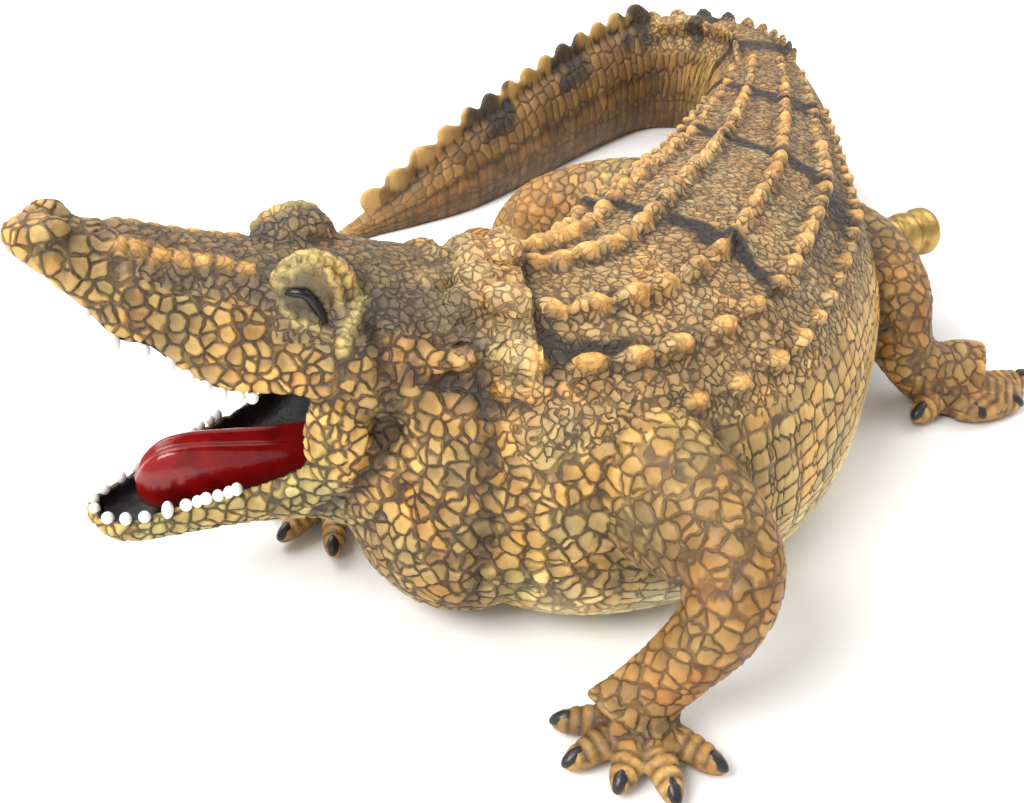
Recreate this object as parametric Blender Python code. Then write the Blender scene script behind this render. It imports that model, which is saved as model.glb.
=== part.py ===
import math

import bmesh
import bpy
import numpy as np

# Driving sizes in metres
OVERALL_LENGTH = 0.372
CONNECTOR_OUTSIDE = 0.0170
CONNECTOR_BORE = 0.0100
CONNECTOR_REACH = 0.0230
SOCKET_DEPTH = 0.0080
SEAT_CLEARANCE = 0.0003

# The free form below is drawn on a sheet where the statue is 353 units long
SHEET_LENGTH = 353.0
UNIT = OVERALL_LENGTH / SHEET_LENGTH

# Facets: the grid that fuses the body, and the triangles that it keeps
BODY_GRID = 1.5 * UNIT
BODY_TRIANGLES = 2950


# Spine from the nape to the tail tip: x, y, top, bottom, half width, height share of the widest
# point, roundness above it and below it
SPINE = (
    (76.0, -77, 86, 10, 32, 0.46, 2.2, 2.4),
    (84.0, -63, 85, 2, 40, 0.42, 2.2, 2.5),
    (89.0, -46, 83, -2, 47, 0.38, 2.2, 2.7),
    (87.0, -24, 82, -4, 50, 0.36, 2.2, 2.8),
    (76.0, -4, 81, -4, 52, 0.36, 2.2, 2.8),
    (58.0, 17, 79, -4, 52, 0.36, 2.2, 2.8),
    (34.0, 43, 74, -4, 49, 0.38, 2.2, 2.8),
    (5.0, 69, 67, -3, 42, 0.40, 2.2, 2.7),
    (-29.0, 97, 61, -2, 35, 0.42, 2.2, 2.6),
    (-66.0, 125, 56, -2, 28, 0.42, 2.2, 2.5),
    (-101.0, 146, 53, -2, 21.5, 0.40, 2.1, 2.5),
    (-130.0, 153, 51, -2, 17, 0.36, 2.0, 2.6),
    (-151.0, 144, 50, -2, 15, 0.34, 1.9, 2.8),
    (-159.0, 119, 48, -2, 13.5, 0.34, 1.8, 3.0),
    (-147.0, 84, 43.5, -2, 13, 0.34, 1.8, 3.0),
    (-131.0, 50, 37.5, -2, 12, 0.34, 1.8, 3.0),
    (-116.0, 15, 30, -2, 11, 0.34, 1.8, 3.0),
    (-110.0, -10, 17, -2, 8.5, 0.40, 1.9, 2.6),
    (-106.0, -28, 9, -1, 5.5, 0.45, 2.0, 2.4),
    (-100.0, -45, 5, 0, 2.0, 0.50, 2.0, 2.0),
)

# The head stands on its own axis: forward of this point, turned by this angle
HEAD_AT = (77.5, -80.0)
HEAD_TURN = math.radians(5.7)

# Forward, top, bottom, half width, share of the widest point, roundness above and below
SKULL = (
    (-12, 84, 34, 30, 0.45, 2.2, 2.2),
    (0, 89, 42, 30, 0.42, 2.3, 2.3),
    (10, 93.5, 54, 28, 0.38, 2.3, 2.6),
    (20, 96, 63, 25.5, 0.32, 2.3, 3.0),
    (28, 97.5, 68, 22.5, 0.26, 2.3, 3.6),
    (36, 99.5, 70, 19.5, 0.22, 2.2, 4.0),
    (46, 103, 71.5, 17, 0.22, 2.2, 4.0),
    (54, 106, 77, 14.5, 0.24, 2.2, 4.0),
    (60, 108.5, 84, 12.5, 0.26, 2.2, 4.0),
    (66, 110.5, 86, 11, 0.26, 2.2, 4.0),
    (72, 112.5, 95, 9.5, 0.28, 2.2, 3.6),
    (78, 114, 102.5, 8, 0.32, 2.2, 3.0),
    (82, 113.5, 106, 6, 0.40, 2.0, 2.4),
    (84.5, 112, 108.5, 2.5, 0.5, 2.0, 2.0),
)
JAW = (
    (-10, 62, 6, 33, 0.50, 2.1, 2.2),
    (6, 67, 13, 30, 0.55, 2.2, 2.2),
    (18, 67, 19.5, 26.5, 0.62, 2.3, 2.2),
    (25, 64, 24, 23.5, 0.70, 2.6, 2.2),
    (31, 53, 27, 21, 0.74, 3.4, 2.2),
    (40, 47.5, 28.5, 18.5, 0.76, 4.0, 2.2),
    (50, 44.5, 28.8, 16, 0.76, 4.0, 2.2),
    (60, 41.5, 28.2, 13.5, 0.76, 4.0, 2.2),
    (70, 38.0, 28, 11, 0.74, 4.0, 2.2),
    (76, 37.0, 29.2, 8.8, 0.70, 3.2, 2.2),
    (79.5, 38.0, 32, 6, 0.60, 2.4, 2.0),
    (81.5, 38.0, 35.5, 2.5, 0.5, 2.0, 2.0),
)
# The hollow between the jaws
MOUTH = (
    (8, 61, 54, 6, 0.5, 2.2, 2.2),
    (17, 69, 47, 14, 0.5, 2.6, 2.6),
    (26, 73.5, 42, 19, 0.5, 4.0, 4.0),
    (36, 75, 38.5, 17.0, 0.5, 7.0, 7.0),
    (46, 76.5, 36, 14.6, 0.5, 8.0, 8.0),
    (56, 82.5, 34, 12.0, 0.5, 8.0, 8.0),
    (66, 90, 32.5, 9.6, 0.5, 7.0, 7.0),
    (73, 97, 32.2, 7.6, 0.5, 6.0, 6.0),
    (78, 103.5, 33.2, 4.6, 0.5, 4.0, 4.0),
)
TONGUE = (
    (10, 52, 40, 7, 0.5, 2.2, 2.4),
    (20, 49, 38, 9, 0.5, 2.4, 2.4),
    (32, 47.5, 35, 10, 0.5, 2.6, 2.4),
    (44, 47.5, 33, 9.6, 0.5, 2.6, 2.4),
    (54, 47.0, 32, 8.4, 0.5, 2.4, 2.4),
    (62, 45.5, 31, 6.6, 0.5, 2.2, 2.4),
    (67, 43.5, 32, 4.2, 0.5, 2.0, 2.4),
    (69, 41.5, 34, 1.5, 0.5, 2.0, 2.0),
)
# Teeth on one side: forward, outward, up, length (above zero points up)
TEETH = (
    (80.5, 3.4, 105.6, -2.6),
    (76.5, 6.2, 102.0, -2.6),
    (71.2, 8.2, 95.6, -3.0),
    (66.8, 9.8, 88.2, -3.8),
    (61.4, 11.2, 85.2, -2.6),
    (56.2, 12.6, 81.8, -3.2),
    (53.0, 13.4, 78.6, -3.2),
    (49.6, 14.6, 75.6, -2.8),
    (46.2, 15.6, 73.6, -2.8),
    (42.6, 16.6, 72.4, -2.6),
    (79.2, 1.8, 37.0, 2.6),
    (77.0, 5.6, 36.4, 2.6),
    (72.6, 8.2, 37.0, 2.8),
    (68.4, 10.0, 38.0, 2.4),
    (63.2, 11.6, 39.4, 4.2),
    (58.2, 12.8, 41.2, 2.8),
    (54.4, 13.7, 42.4, 2.8),
    (50.6, 14.8, 43.6, 2.8),
    (46.8, 15.6, 44.8, 2.8),
)
TOOTH_WIDTH = 1.35

# Limbs: x, y, z, radius across, radius in height
LEFT_FORELEG = (
    (112, -38, 44, 20, 24),
    (130, -39, 46, 17, 21),
    (147, -36, 45, 14.5, 16),
    (158, -36, 40.5, 12.0, 12.5),
    (162, -41, 32, 9.8, 10.5),
    (161, -48, 23, 8.4, 8.6),
    (159, -54, 15, 8.8, 7.2),
    (158.5, -59, 9, 11, 6.2),
    (159, -64, 6, 12, 5),
)
RIGHT_FORELEG = (
    (70, -58, 44, 18, 22),
    (52, -60, 44, 16, 18),
    (38, -64, 40, 13, 14),
    (32, -72, 31, 11, 12),
    (36, -82, 21, 9.4, 9.5),
    (43, -90, 13, 9.6, 7.5),
    (49, -95, 8, 11, 6.2),
    (53, -99, 5.5, 11.5, 5),
)
LEFT_HINDLEG = (
    (10, 74, 34, 18, 20),
    (31, 82, 37, 16.5, 17),
    (50, 86, 36.5, 14.5, 15),
    (64, 85, 32, 12.5, 13.5),
    (72, 83, 24.5, 10.5, 11),
    (76, 86, 17, 9.5, 9),
    (79, 92, 11, 10.5, 8),
    (83, 100, 8, 13.5, 6.5),
    (86, 107, 6, 14, 5.5),
)
RIGHT_HINDLEG = (
    (-10, 66, 32, 16, 18),
    (-32, 50, 31, 14, 15),
    (-46, 36, 28, 12.5, 13),
    (-54, 22, 23.5, 10.5, 11),
    (-57, 13, 16, 9, 9),
    (-60, 11, 10, 9.5, 7),
    (-63, 9, 6.5, 12, 5.5),
    (-66, 7, 4.5, 12, 4.5),
)
# Feet: where the toes start from, then the tip of each toe, and the toe's thickness
FEET = (
    ((160, -57), ((150, -75), (162, -78), (173, -71), (181, -61), (178, -47)), 3.7),
    ((50, -94), ((46, -114), (61, -114), (73, -103), (34, -108), (30, -98)), 3.6),
    ((84, 97), ((90, 80), (98, 99), (98, 114), (88, 127)), 4.2),
    ((-59, 12), ((-62, -6), (-72, -4), (-80, 4), (-81, 15)), 3.9),
)


# The web between the toes of each hind foot: middle, radii
WEBS = (((91, 106, 4.0), (9, 15, 6)), ((-70, 4, 4.0), (11, 9, 5.5)))

# Raised scales on the back: share of the half width, first and last place on the spine, size
KEEL_ROWS = ((0.21, 1.2, 9.4, 1.0), (0.50, 1.4, 9.0, 1.0), (0.70, 2.6, 8.4, 0.9))
MIDLINE_SHIFT = 0.10
KEEL_SPACING = 10.6
KEEL_SIZE = (8.4, 5.4, 3.8)
# Upright scales of the tail: a double row, then a single one
DOUBLE_CREST = (0.46, 9.4, 12.6)
SINGLE_CREST = (0.0, 12.7, 17.6)
CREST_SPACING = 11.8
CREST_HEIGHT = 8.6
CREST_THICKNESS = 3.4


# Where the hose connector's seat meets the rump: x, y, z
CONNECTOR_AT = (34.0, 103.0, 33.0)
# Along a toe: share of its length, thickness, height of its middle
TOE_STEPS = ((0.15, 1.1, 5.0), (0.5, 1.0, 4.8), (0.75, 0.95, 4.2), (0.9, 0.7, 3.8))
SPINE_FADE = 10.0


def smooth_row(rows, steps):
    """Rows with points added along a smooth curve through them."""
    rows = np.array(rows, dtype=float)
    ends = np.vstack([2 * rows[0] - rows[1], rows, 2 * rows[-1] - rows[-2]])
    out = []
    for i in range(len(rows) - 1):
        a, b, c, d = ends[i : i + 4]
        for k in range(steps):
            t = k / steps
            out.append(
                0.5
                * (
                    2 * b
                    + (c - a) * t
                    + (2 * a - 5 * b + 4 * c - d) * t * t
                    + (3 * b - a - 3 * c + d) * t ** 3
                )
            )
    out.append(rows[-1])
    return np.array(out)


def block_rings(half, low, high):
    """Two square rings, one above the other."""
    corners = ((-half, -half), (half, -half), (half, half), (-half, half))
    return [[(x, y, z) for x, y in corners] for z in (low, high)]


def power(value, exponent):
    return np.sign(value) * np.abs(value) ** exponent


def tube(rings):
    """A closed skin over rings of points."""
    rings = np.array(rings)
    count, around = rings.shape[:2]
    points = list(rings.reshape(-1, 3))
    faces = []
    for i in range(count - 1):
        for k in range(around):
            n = (k + 1) % around
            a, b = i * around, (i + 1) * around
            faces.append((a + k, a + n, b + n, b + k))
    faces.append(tuple(range(around))[::-1])
    faces.append(tuple((count - 1) * around + k for k in range(around)))
    return points, faces


def upright_rings(rows, around=28, steps=5):
    """Rings that stand upright across the row: x, y, top, bottom, half width, share, roundness above and below."""
    rows = smooth_row(rows, steps)
    flat = np.gradient(rows[:, :2], axis=0)
    flat /= np.linalg.norm(flat, axis=1)[:, None]
    side = np.stack([-flat[:, 1], flat[:, 0]], axis=1)
    angle = np.linspace(0, 2 * math.pi, around, endpoint=False)
    rings = []
    for row, across in zip(rows, side):
        x, y, top, bottom, half, share, above, below = row
        middle = bottom + share * (top - bottom)
        roundness = np.where(np.sin(angle) > 0, above, below)
        reach = half * power(np.cos(angle), 2 / roundness)
        high = np.where(np.sin(angle) > 0, top - middle, middle - bottom)
        up = middle + high * power(np.sin(angle), 2 / roundness)
        rings.append(
            np.stack([x + across[0] * reach, y + across[1] * reach, up], axis=1)
        )
    return rings


def limb_rings(rows, around=16, steps=4):
    """Rings square to the row: x, y, z, radius across, radius in height."""
    rows = smooth_row(rows, steps)
    along = np.gradient(rows[:, :3], axis=0)
    along /= np.linalg.norm(along, axis=1)[:, None]
    angle = np.linspace(0, 2 * math.pi, around, endpoint=False)
    rings = []
    side = np.array([1.0, 0.0, 0.0])
    for k, (row, ahead) in enumerate(zip(rows, along)):
        if k == 0:
            side = np.cross(ahead, (0, 0, 1.0))
        side = side - ahead * (side @ ahead)
        side /= np.linalg.norm(side)
        up = np.cross(side, ahead)
        rings.append(
            row[:3]
            + np.outer(np.cos(angle) * row[3], side)
            + np.outer(np.sin(angle) * row[4], up)
        )
    return rings


def on_head(forward, left, up):
    """A point given along the head's own axis, in the sheet's frame."""
    ahead = (-math.sin(HEAD_TURN), -math.cos(HEAD_TURN))
    side = (math.cos(HEAD_TURN), -math.sin(HEAD_TURN))
    return (
        HEAD_AT[0] + forward * ahead[0] + left * side[0],
        HEAD_AT[1] + forward * ahead[1] + left * side[1],
        up,
    )


def head_rows(rows):
    return [on_head(row[0], 0, 0)[:2] + row[1:] for row in rows]


def ball(centre, radii, turn=0.0, rings=10, around=16):
    """An ellipsoid with its poles above and below."""
    points = [(0, 0, -1)]
    for i in range(1, rings):
        low = math.pi * i / rings
        for k in range(around):
            a = 2 * math.pi * k / around
            points.append(
                (math.sin(low) * math.cos(a), math.sin(low) * math.sin(a), -math.cos(low))
            )
    points.append((0, 0, 1))
    faces = []
    for k in range(around):
        n = (k + 1) % around
        faces.append((0, 1 + n, 1 + k))
        for i in range(rings - 2):
            a, b = 1 + i * around, 1 + (i + 1) * around
            faces.append((a + k, a + n, b + n, b + k))
        a = 1 + (rings - 2) * around
        faces.append((a + k, a + n, len(points) - 1))
    cos, sin = math.cos(turn), math.sin(turn)
    moved = []
    for x, y, z in points:
        x, y = x * radii[0], y * radii[1]
        moved.append(
            (
                centre[0] + cos * x - sin * y,
                centre[1] + sin * x + cos * y,
                centre[2] + z * radii[2],
            )
        )
    return moved, faces


def peg(root, tip, width, around=5):
    """A blunt point, widest at its root."""
    root, tip = np.array(root, float), np.array(tip, float)
    ahead = (tip - root) / np.linalg.norm(tip - root)
    side = np.cross(ahead, (0.37, 0.61, 0.7))
    side /= np.linalg.norm(side)
    up = np.cross(side, ahead)
    points = []
    for share, size in ((0, 1.0), (0.7, 0.72)):
        for k in range(around):
            a = 2 * math.pi * k / around
            points.append(
                root
                + (tip - root) * share
                + width * size * (math.cos(a) * side + math.sin(a) * up)
            )
    points.append(tip)
    faces = [tuple(range(around))[::-1]]
    for k in range(around):
        n = (k + 1) % around
        faces.append((k, n, around + n, around + k))
        faces.append((around + k, around + n, 2 * around))
    return points, faces


def spine_at(place):
    """The smoothed spine row at a place counted in rows, with the way it runs there."""
    steps = 12
    rows = smooth_row(SPINE, steps)
    spot = min(max(place * steps, 0), len(rows) - 1.001)
    k = int(spot)
    row = rows[k] + (rows[k + 1] - rows[k]) * (spot - k)
    run = rows[k + 1, :2] - rows[k, :2]
    return row, run / np.linalg.norm(run)


def on_back(place, share):
    """A point of the back above the spine, this share of the half width to the side."""
    row, run = spine_at(place)
    x, y, top, bottom, half, widest, above, below = row
    middle = bottom + widest * (top - bottom)
    up = middle + (top - middle) * (1 - abs(share) ** above) ** (1 / above)
    return np.array([x + run[1] * half * share, y - run[0] * half * share, up]), run


def places_along(first, last, spacing):
    """Places on the spine that lie this far apart."""
    found, spot, gone = [first], first, 0.0
    before = spine_at(first)[0][:2]
    while spot < last:
        spot += 0.02
        here = spine_at(spot)[0][:2]
        gone += np.linalg.norm(here - before)
        before = here
        if gone >= spacing:
            found.append(spot)
            gone = 0.0
    return found


def keel(place, share, size):
    """A raised scale that climbs to a point at its rear."""
    centre, run = on_back(place, share)
    beside = on_back(place, share + 0.02)[0] - on_back(place, share - 0.02)[0]
    ahead = np.array([run[0], run[1], 0])
    rise = on_back(place + 0.05, share)[0] - on_back(place - 0.05, share)[0]
    rise /= np.linalg.norm(rise)
    beside /= np.linalg.norm(beside)
    out = np.cross(beside, rise)
    out *= np.sign(out[2])
    long, wide, high = (v * size for v in KEEL_SIZE)
    points = [
        centre - rise * long * 0.5 - out * 0.8,
        centre + beside * wide * 0.5 - out * 0.8,
        centre + rise * long * 0.42 - out * 0.8,
        centre - beside * wide * 0.5 - out * 0.8,
        centre + rise * long * 0.2 + out * high,
        centre - out * 3.5,
    ]
    return points, [
        (0, 1, 4), (1, 2, 4), (2, 3, 4), (3, 0, 4),
        (1, 0, 5), (2, 1, 5), (3, 2, 5), (0, 3, 5),
    ]


def crest_scale(place, share, size):
    """An upright scale of the tail, leaning to the tail's tip."""
    foot, run = on_back(place, share)
    beside = np.array([run[1], -run[0], 0])
    ahead = np.array([run[0], run[1], 0])
    fall = on_back(place + 0.05, share)[0] - on_back(place - 0.05, share)[0]
    slope = fall[2] / max(np.linalg.norm(fall[:2]), 1e-6)
    outline = (
        (-0.40, -0.45), (-0.42, 0.10), (-0.05, 0.72), (0.30, 1.0), (0.50, 0.86), (0.46, 0.40), (0.40, -0.45)
    )
    lean = share * 0.5
    points = []
    for side in (-1, 1):
        for along, up in outline:
            thick = CREST_THICKNESS * size * 0.5 * (1.0 if up < 0.2 else 1.15 - 0.65 * up)
            step = along * CREST_SPACING * size * 0.93
            points.append(
                foot
                + ahead * step
                + beside * (side * thick + lean * up * 4)
                + np.array([0, 0, up * CREST_HEIGHT * size + step * slope])
            )
    count = len(outline)
    faces = [tuple(range(count)), tuple(range(count, 2 * count))[::-1]]
    for k in range(count):
        n = (k + 1) % count
        faces.append((n, k, count + k, count + n))
    return points, faces


def mesh_object(name, shells, unit=UNIT):
    """One object out of closed shells of points and faces."""
    points, faces = [], []
    for shell_points, shell_faces in shells:
        start = len(points)
        points += [tuple(float(v) * unit for v in p) for p in shell_points]
        faces += [tuple(start + i for i in face) for face in shell_faces]
    mesh = bpy.data.meshes.new(name)
    mesh.from_pydata(points, [], faces)
    work = bmesh.new()
    work.from_mesh(mesh)
    bmesh.ops.recalc_face_normals(work, faces=work.faces)
    work.to_mesh(mesh)
    work.free()
    item = bpy.data.objects.new(name, mesh)
    bpy.context.scene.collection.objects.link(item)
    return item


def settle(item):
    """Makes the shape that the object's modifiers give its own mesh."""
    graph = bpy.context.evaluated_depsgraph_get()
    mesh = bpy.data.meshes.new_from_object(item.evaluated_get(graph))
    item.modifiers.clear()
    item.data = mesh


def fuse(item, grid):
    step = item.modifiers.new("fuse", "REMESH")
    step.mode = "VOXEL"
    step.voxel_size = grid
    settle(item)


def soften(item, turns, factor=0.5):
    step = item.modifiers.new("soften", "SMOOTH")
    step.factor = factor
    step.iterations = turns
    settle(item)


def combine(item, other, operation, solver="EXACT"):
    step = item.modifiers.new("combine", "BOOLEAN")
    step.operation = operation
    step.solver = solver
    step.object = other
    settle(item)
    bpy.data.objects.remove(other)


def thin_out(item, triangles):
    item.data.calc_loop_triangles()
    step = item.modifiers.new("thin_out", "DECIMATE")
    step.ratio = triangles / len(item.data.loop_triangles)
    step.use_collapse_triangulate = True
    settle(item)


def body_shells():
    shells = [
        tube(upright_rings(SPINE)),
        tube(upright_rings(head_rows(SKULL))),
        tube(upright_rings(head_rows(JAW))),
        ball((87, -74, 28), (36, 28, 30), -HEAD_TURN),
    ]
    for side in (-1, 1):
        shells.append(ball(on_head(17, 19 * side, 56), (8, 12.5, 20), -HEAD_TURN))
        shells.append(ball(on_head(23, 11.5 * side, 95.5), (7.5, 10.5, 7.5), -HEAD_TURN))
        shells.append(ball(on_head(75.5, 4.2 * side, 112), (3.6, 5, 3.6), -HEAD_TURN))
    for limb in (LEFT_FORELEG, RIGHT_FORELEG, LEFT_HINDLEG, RIGHT_HINDLEG):
        shells.append(tube(limb_rings(limb)))
    for centre, radii in WEBS:
        shells.append(ball(centre, radii))
    for palm, tips, thick in FEET:
        for tip in tips:
            rows = []
            for share, size, high in TOE_STEPS:
                x = palm[0] + (tip[0] - palm[0]) * share
                y = palm[1] + (tip[1] - palm[1]) * share
                rows.append((x, y, high, thick * size, thick * size))
            shells.append(tube(limb_rings(rows, 12, 3)))
    return shells


def claw_shells():
    shells = []
    for palm, tips, thick in FEET:
        for tip in tips:
            away = np.array(tip, float) - np.array(palm, float)
            away /= np.linalg.norm(away)
            root = np.array(tip) - away * 5.0
            end = np.array(tip) + away * 1.0
            shells.append(peg((root[0], root[1], 4.6), (end[0], end[1], 1.4), 2.3))
    return shells


def scale_shells():
    shells = []
    for share, first, last, size in KEEL_ROWS:
        for place in places_along(first, last, KEEL_SPACING):
            fade = min(1.0, 0.55 + 0.12 * (SPINE_FADE - place))
            for side in (-1, 1):
                drift = MIDLINE_SHIFT * max(0.0, 1 - place / 9)
                shells.append(keel(place, drift + side * share, size * max(fade, 0.5)))
    share, first, last = DOUBLE_CREST
    for place in places_along(first, last, CREST_SPACING * 0.8):
        for side in (-1, 1):
            shells.append(crest_scale(place, side * share, 0.66))
    share, first, last = SINGLE_CREST
    for place in places_along(first, last, CREST_SPACING):
        shells.append(crest_scale(place, share, 0.95 if place < 16.4 else 1.05))
    return shells


def tooth_shells():
    shells = []
    for forward, outward, up, length in TEETH:
        for side in (-1, 1):
            root = on_head(forward, outward * side, up - math.copysign(1.2, length))
            tip = on_head(forward, (outward + 0.3) * side, up + length)
            shells.append(peg(root, tip, TOOTH_WIDTH))
    return shells


def hose_profile():
    """Distance along the connector and radius, round its wall and back through the bore."""
    large = CONNECTOR_OUTSIDE / 2
    seat = large - 0.0016
    rows = [(0, seat), (SOCKET_DEPTH + 0.0008, seat)]
    start = SOCKET_DEPTH + 0.0008
    pitch = (CONNECTOR_REACH - 0.0008) / 3
    for ring in range(3):
        rim = large - 0.0005 * (2 - ring)
        for share, drop in ((0.2, 0.2), (0.5, 0.0), (0.8, 0.2), (1.0, 1.0)):
            if ring == 2 and share == 1.0:
                drop = 0.7
            rows.append((start + pitch * (ring + share), rim - 0.0011 * drop))
    rows.append((rows[-1][0], CONNECTOR_BORE / 2))
    rows.append((0, CONNECTOR_BORE / 2))
    return rows


def hose_connector(at):
    """The tail for the hose, a tube along +Y."""
    around = 24
    points, faces = [], []
    rows = hose_profile()
    for along, radius in rows:
        for k in range(around):
            a = 2 * math.pi * k / around
            points.append(
                (at[0] + radius * math.cos(a), at[1] + along, at[2] + radius * math.sin(a))
            )
    for i in range(len(rows)):
        j = (i + 1) % len(rows)
        for k in range(around):
            n = (k + 1) % around
            faces.append((i * around + k, i * around + n, j * around + n, j * around + k))
    return mesh_object("hose_connector", [(points, faces)], 1.0)


def cylinder_along_y(name, at, radius, start, end, around=24):
    rings = []
    for y in (start, end):
        rings.append(
            [
                (
                    at[0] + radius * math.cos(2 * math.pi * k / around),
                    y,
                    at[2] + radius * math.sin(2 * math.pi * k / around),
                )
                for k in range(around)
            ]
        )
    return mesh_object(name, [tube(rings)], 1.0)


def paint(item, name, colour, roughness, metallic=0.0):
    material = bpy.data.materials.new(name)
    material.use_nodes = True
    shader = material.node_tree.nodes["Principled BSDF"]
    shader.inputs["Base Color"].default_value = colour
    shader.inputs["Roughness"].default_value = roughness
    shader.inputs["Metallic"].default_value = metallic
    material.diffuse_color = colour
    item.data.materials.clear()
    item.data.materials.append(material)


def stand_on_origin(items):
    """Moves everything so that the middle of the underside of the whole is the origin."""
    corners = np.array([v.co[:] for item in items for v in item.data.vertices])
    low, high = corners.min(axis=0), corners.max(axis=0)
    for item in items:
        for v in item.data.vertices:
            v.co.x -= (low[0] + high[0]) / 2
            v.co.y -= (low[1] + high[1]) / 2
            v.co.z -= low[2]


def main():
    for item in list(bpy.data.objects):
        bpy.data.objects.remove(item)
    casting = mesh_object("alligator_casting", body_shells())
    fuse(casting, BODY_GRID)
    soften(casting, 5)
    mouth = mesh_object("mouth", [tube(upright_rings(head_rows(MOUTH)))])
    combine(casting, mouth, "DIFFERENCE")
    fuse(casting, BODY_GRID * 0.9)
    soften(casting, 2)
    thin_out(casting, BODY_TRIANGLES)
    tongue = mesh_object("tongue", [tube(upright_rings(head_rows(TONGUE), 14, 2))])
    combine(casting, tongue, "UNION", "MANIFOLD")
    extras = mesh_object("extras", scale_shells() + tooth_shells() + claw_shells())
    combine(casting, extras, "UNION", "MANIFOLD")
    ground = mesh_object("ground", [tube(block_rings(300, -40, 0))])
    combine(casting, ground, "DIFFERENCE", "MANIFOLD")
    socket = tuple(v * UNIT for v in CONNECTOR_AT)
    hole = cylinder_along_y(
        "hole",
        socket,
        CONNECTOR_OUTSIDE / 2 - 0.0016 + SEAT_CLEARANCE,
        socket[1] - SOCKET_DEPTH - SEAT_CLEARANCE,
        socket[1] + 2 * SOCKET_DEPTH,
    )
    combine(casting, hole, "DIFFERENCE", "MANIFOLD")
    connector = hose_connector((socket[0], socket[1] - SOCKET_DEPTH, socket[2]))
    paint(casting, "painted_resin", (0.50, 0.33, 0.13, 1), 0.55)
    paint(connector, "brass", (0.62, 0.45, 0.16, 1), 0.35, 0.9)
    stand_on_origin([casting, connector])


main()
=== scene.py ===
import math
import bmesh
import bpy
import numpy as np
from mathutils import Matrix, Vector


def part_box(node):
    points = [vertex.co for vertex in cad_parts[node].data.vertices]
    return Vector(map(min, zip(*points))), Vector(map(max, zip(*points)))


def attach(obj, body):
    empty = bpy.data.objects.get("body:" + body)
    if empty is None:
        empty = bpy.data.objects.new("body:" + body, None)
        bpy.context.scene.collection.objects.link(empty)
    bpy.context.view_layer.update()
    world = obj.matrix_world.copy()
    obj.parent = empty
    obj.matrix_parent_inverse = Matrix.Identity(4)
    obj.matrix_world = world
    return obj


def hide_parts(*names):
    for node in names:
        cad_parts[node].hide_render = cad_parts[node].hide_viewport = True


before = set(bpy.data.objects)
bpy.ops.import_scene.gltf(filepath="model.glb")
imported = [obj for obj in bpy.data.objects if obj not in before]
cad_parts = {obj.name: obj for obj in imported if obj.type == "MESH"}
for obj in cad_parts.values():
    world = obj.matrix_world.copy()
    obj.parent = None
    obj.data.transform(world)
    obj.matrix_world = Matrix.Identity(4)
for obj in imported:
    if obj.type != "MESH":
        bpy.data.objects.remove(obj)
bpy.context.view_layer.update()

# The statue is drawn in millimetres of a sheet, then scaled and moved to the frame by the hose connector
sheetUnit = 0.372 / 353.0
hoseLow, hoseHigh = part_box("hose_connector")
sheetShift = np.array([
    (hoseLow[0] + hoseHigh[0]) / 2 - 34.0 * sheetUnit,
    hoseLow[1] + 0.008 - 103.0 * sheetUnit,
    0.0,
])


def toWorld(points):
    return np.asarray(points, float) * sheetUnit + sheetShift


# shapes made of rings and balls, all with bmesh operators

def smoothRows(rows, steps):
    rows = np.array(rows, float)
    ends = np.vstack([2 * rows[0] - rows[1], rows, 2 * rows[-1] - rows[-2]])
    out = []
    for i in range(len(rows) - 1):
        a, b, c, d = ends[i:i + 4]
        for k in range(steps):
            t = k / steps
            bend = (2 * b + (c - a) * t + (2 * a - 5 * b + 4 * c - d) * t * t
                    + (3 * b - a - 3 * c + d) * t ** 3)
            out.append(0.5 * bend)
    out.append(rows[-1])
    return np.array(out)


def directions(rows, axes):
    # the way from each row to the next
    ahead = np.gradient(rows[:, :axes], axis=0)
    return ahead / np.linalg.norm(ahead, axis=1)[:, None]


def power(value, exponent):
    return np.sign(value) * np.abs(value) ** exponent


def uprightRings(rows, around=40, steps=6):
    rows = smoothRows(rows, steps)
    angle = np.linspace(0, 2 * math.pi, around, endpoint=False)
    rings = []
    for row, run in zip(rows, directions(rows, 2)):
        x, y, top, bottom, half, share, above, below = row
        middle = bottom + share * (top - bottom)
        roundness = np.where(np.sin(angle) > 0, above, below)
        reach = half * power(np.cos(angle), 2 / roundness)
        high = np.where(np.sin(angle) > 0, top - middle, middle - bottom)
        up = middle + high * power(np.sin(angle), 2 / roundness)
        rings.append(np.stack([x - run[1] * reach, y + run[0] * reach, up], axis=1))
    return rings


def limbRings(rows, around=20, steps=5):
    rows = smoothRows(rows, steps)
    angle = np.linspace(0, 2 * math.pi, around, endpoint=False)
    rings = []
    side = np.array([1.0, 0.0, 0.0])
    for k, (row, ahead) in enumerate(zip(rows, directions(rows, 3))):
        if k == 0:
            side = np.cross(ahead, (0, 0, 1.0))
        side = side - ahead * (side @ ahead)
        side /= np.linalg.norm(side)
        up = np.cross(side, ahead)
        spots = row[:3] + np.outer(np.cos(angle) * row[3], side)
        rings.append(spots + np.outer(np.sin(angle) * row[4], up))
    return rings


def addTo(shell, bm):
    # each form is made in a small mesh of its own, then joined to the rest
    mesh = bpy.data.meshes.new("form")
    bm.to_mesh(mesh)
    bm.free()
    shell.from_mesh(mesh)
    bpy.data.meshes.remove(mesh)


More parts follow.
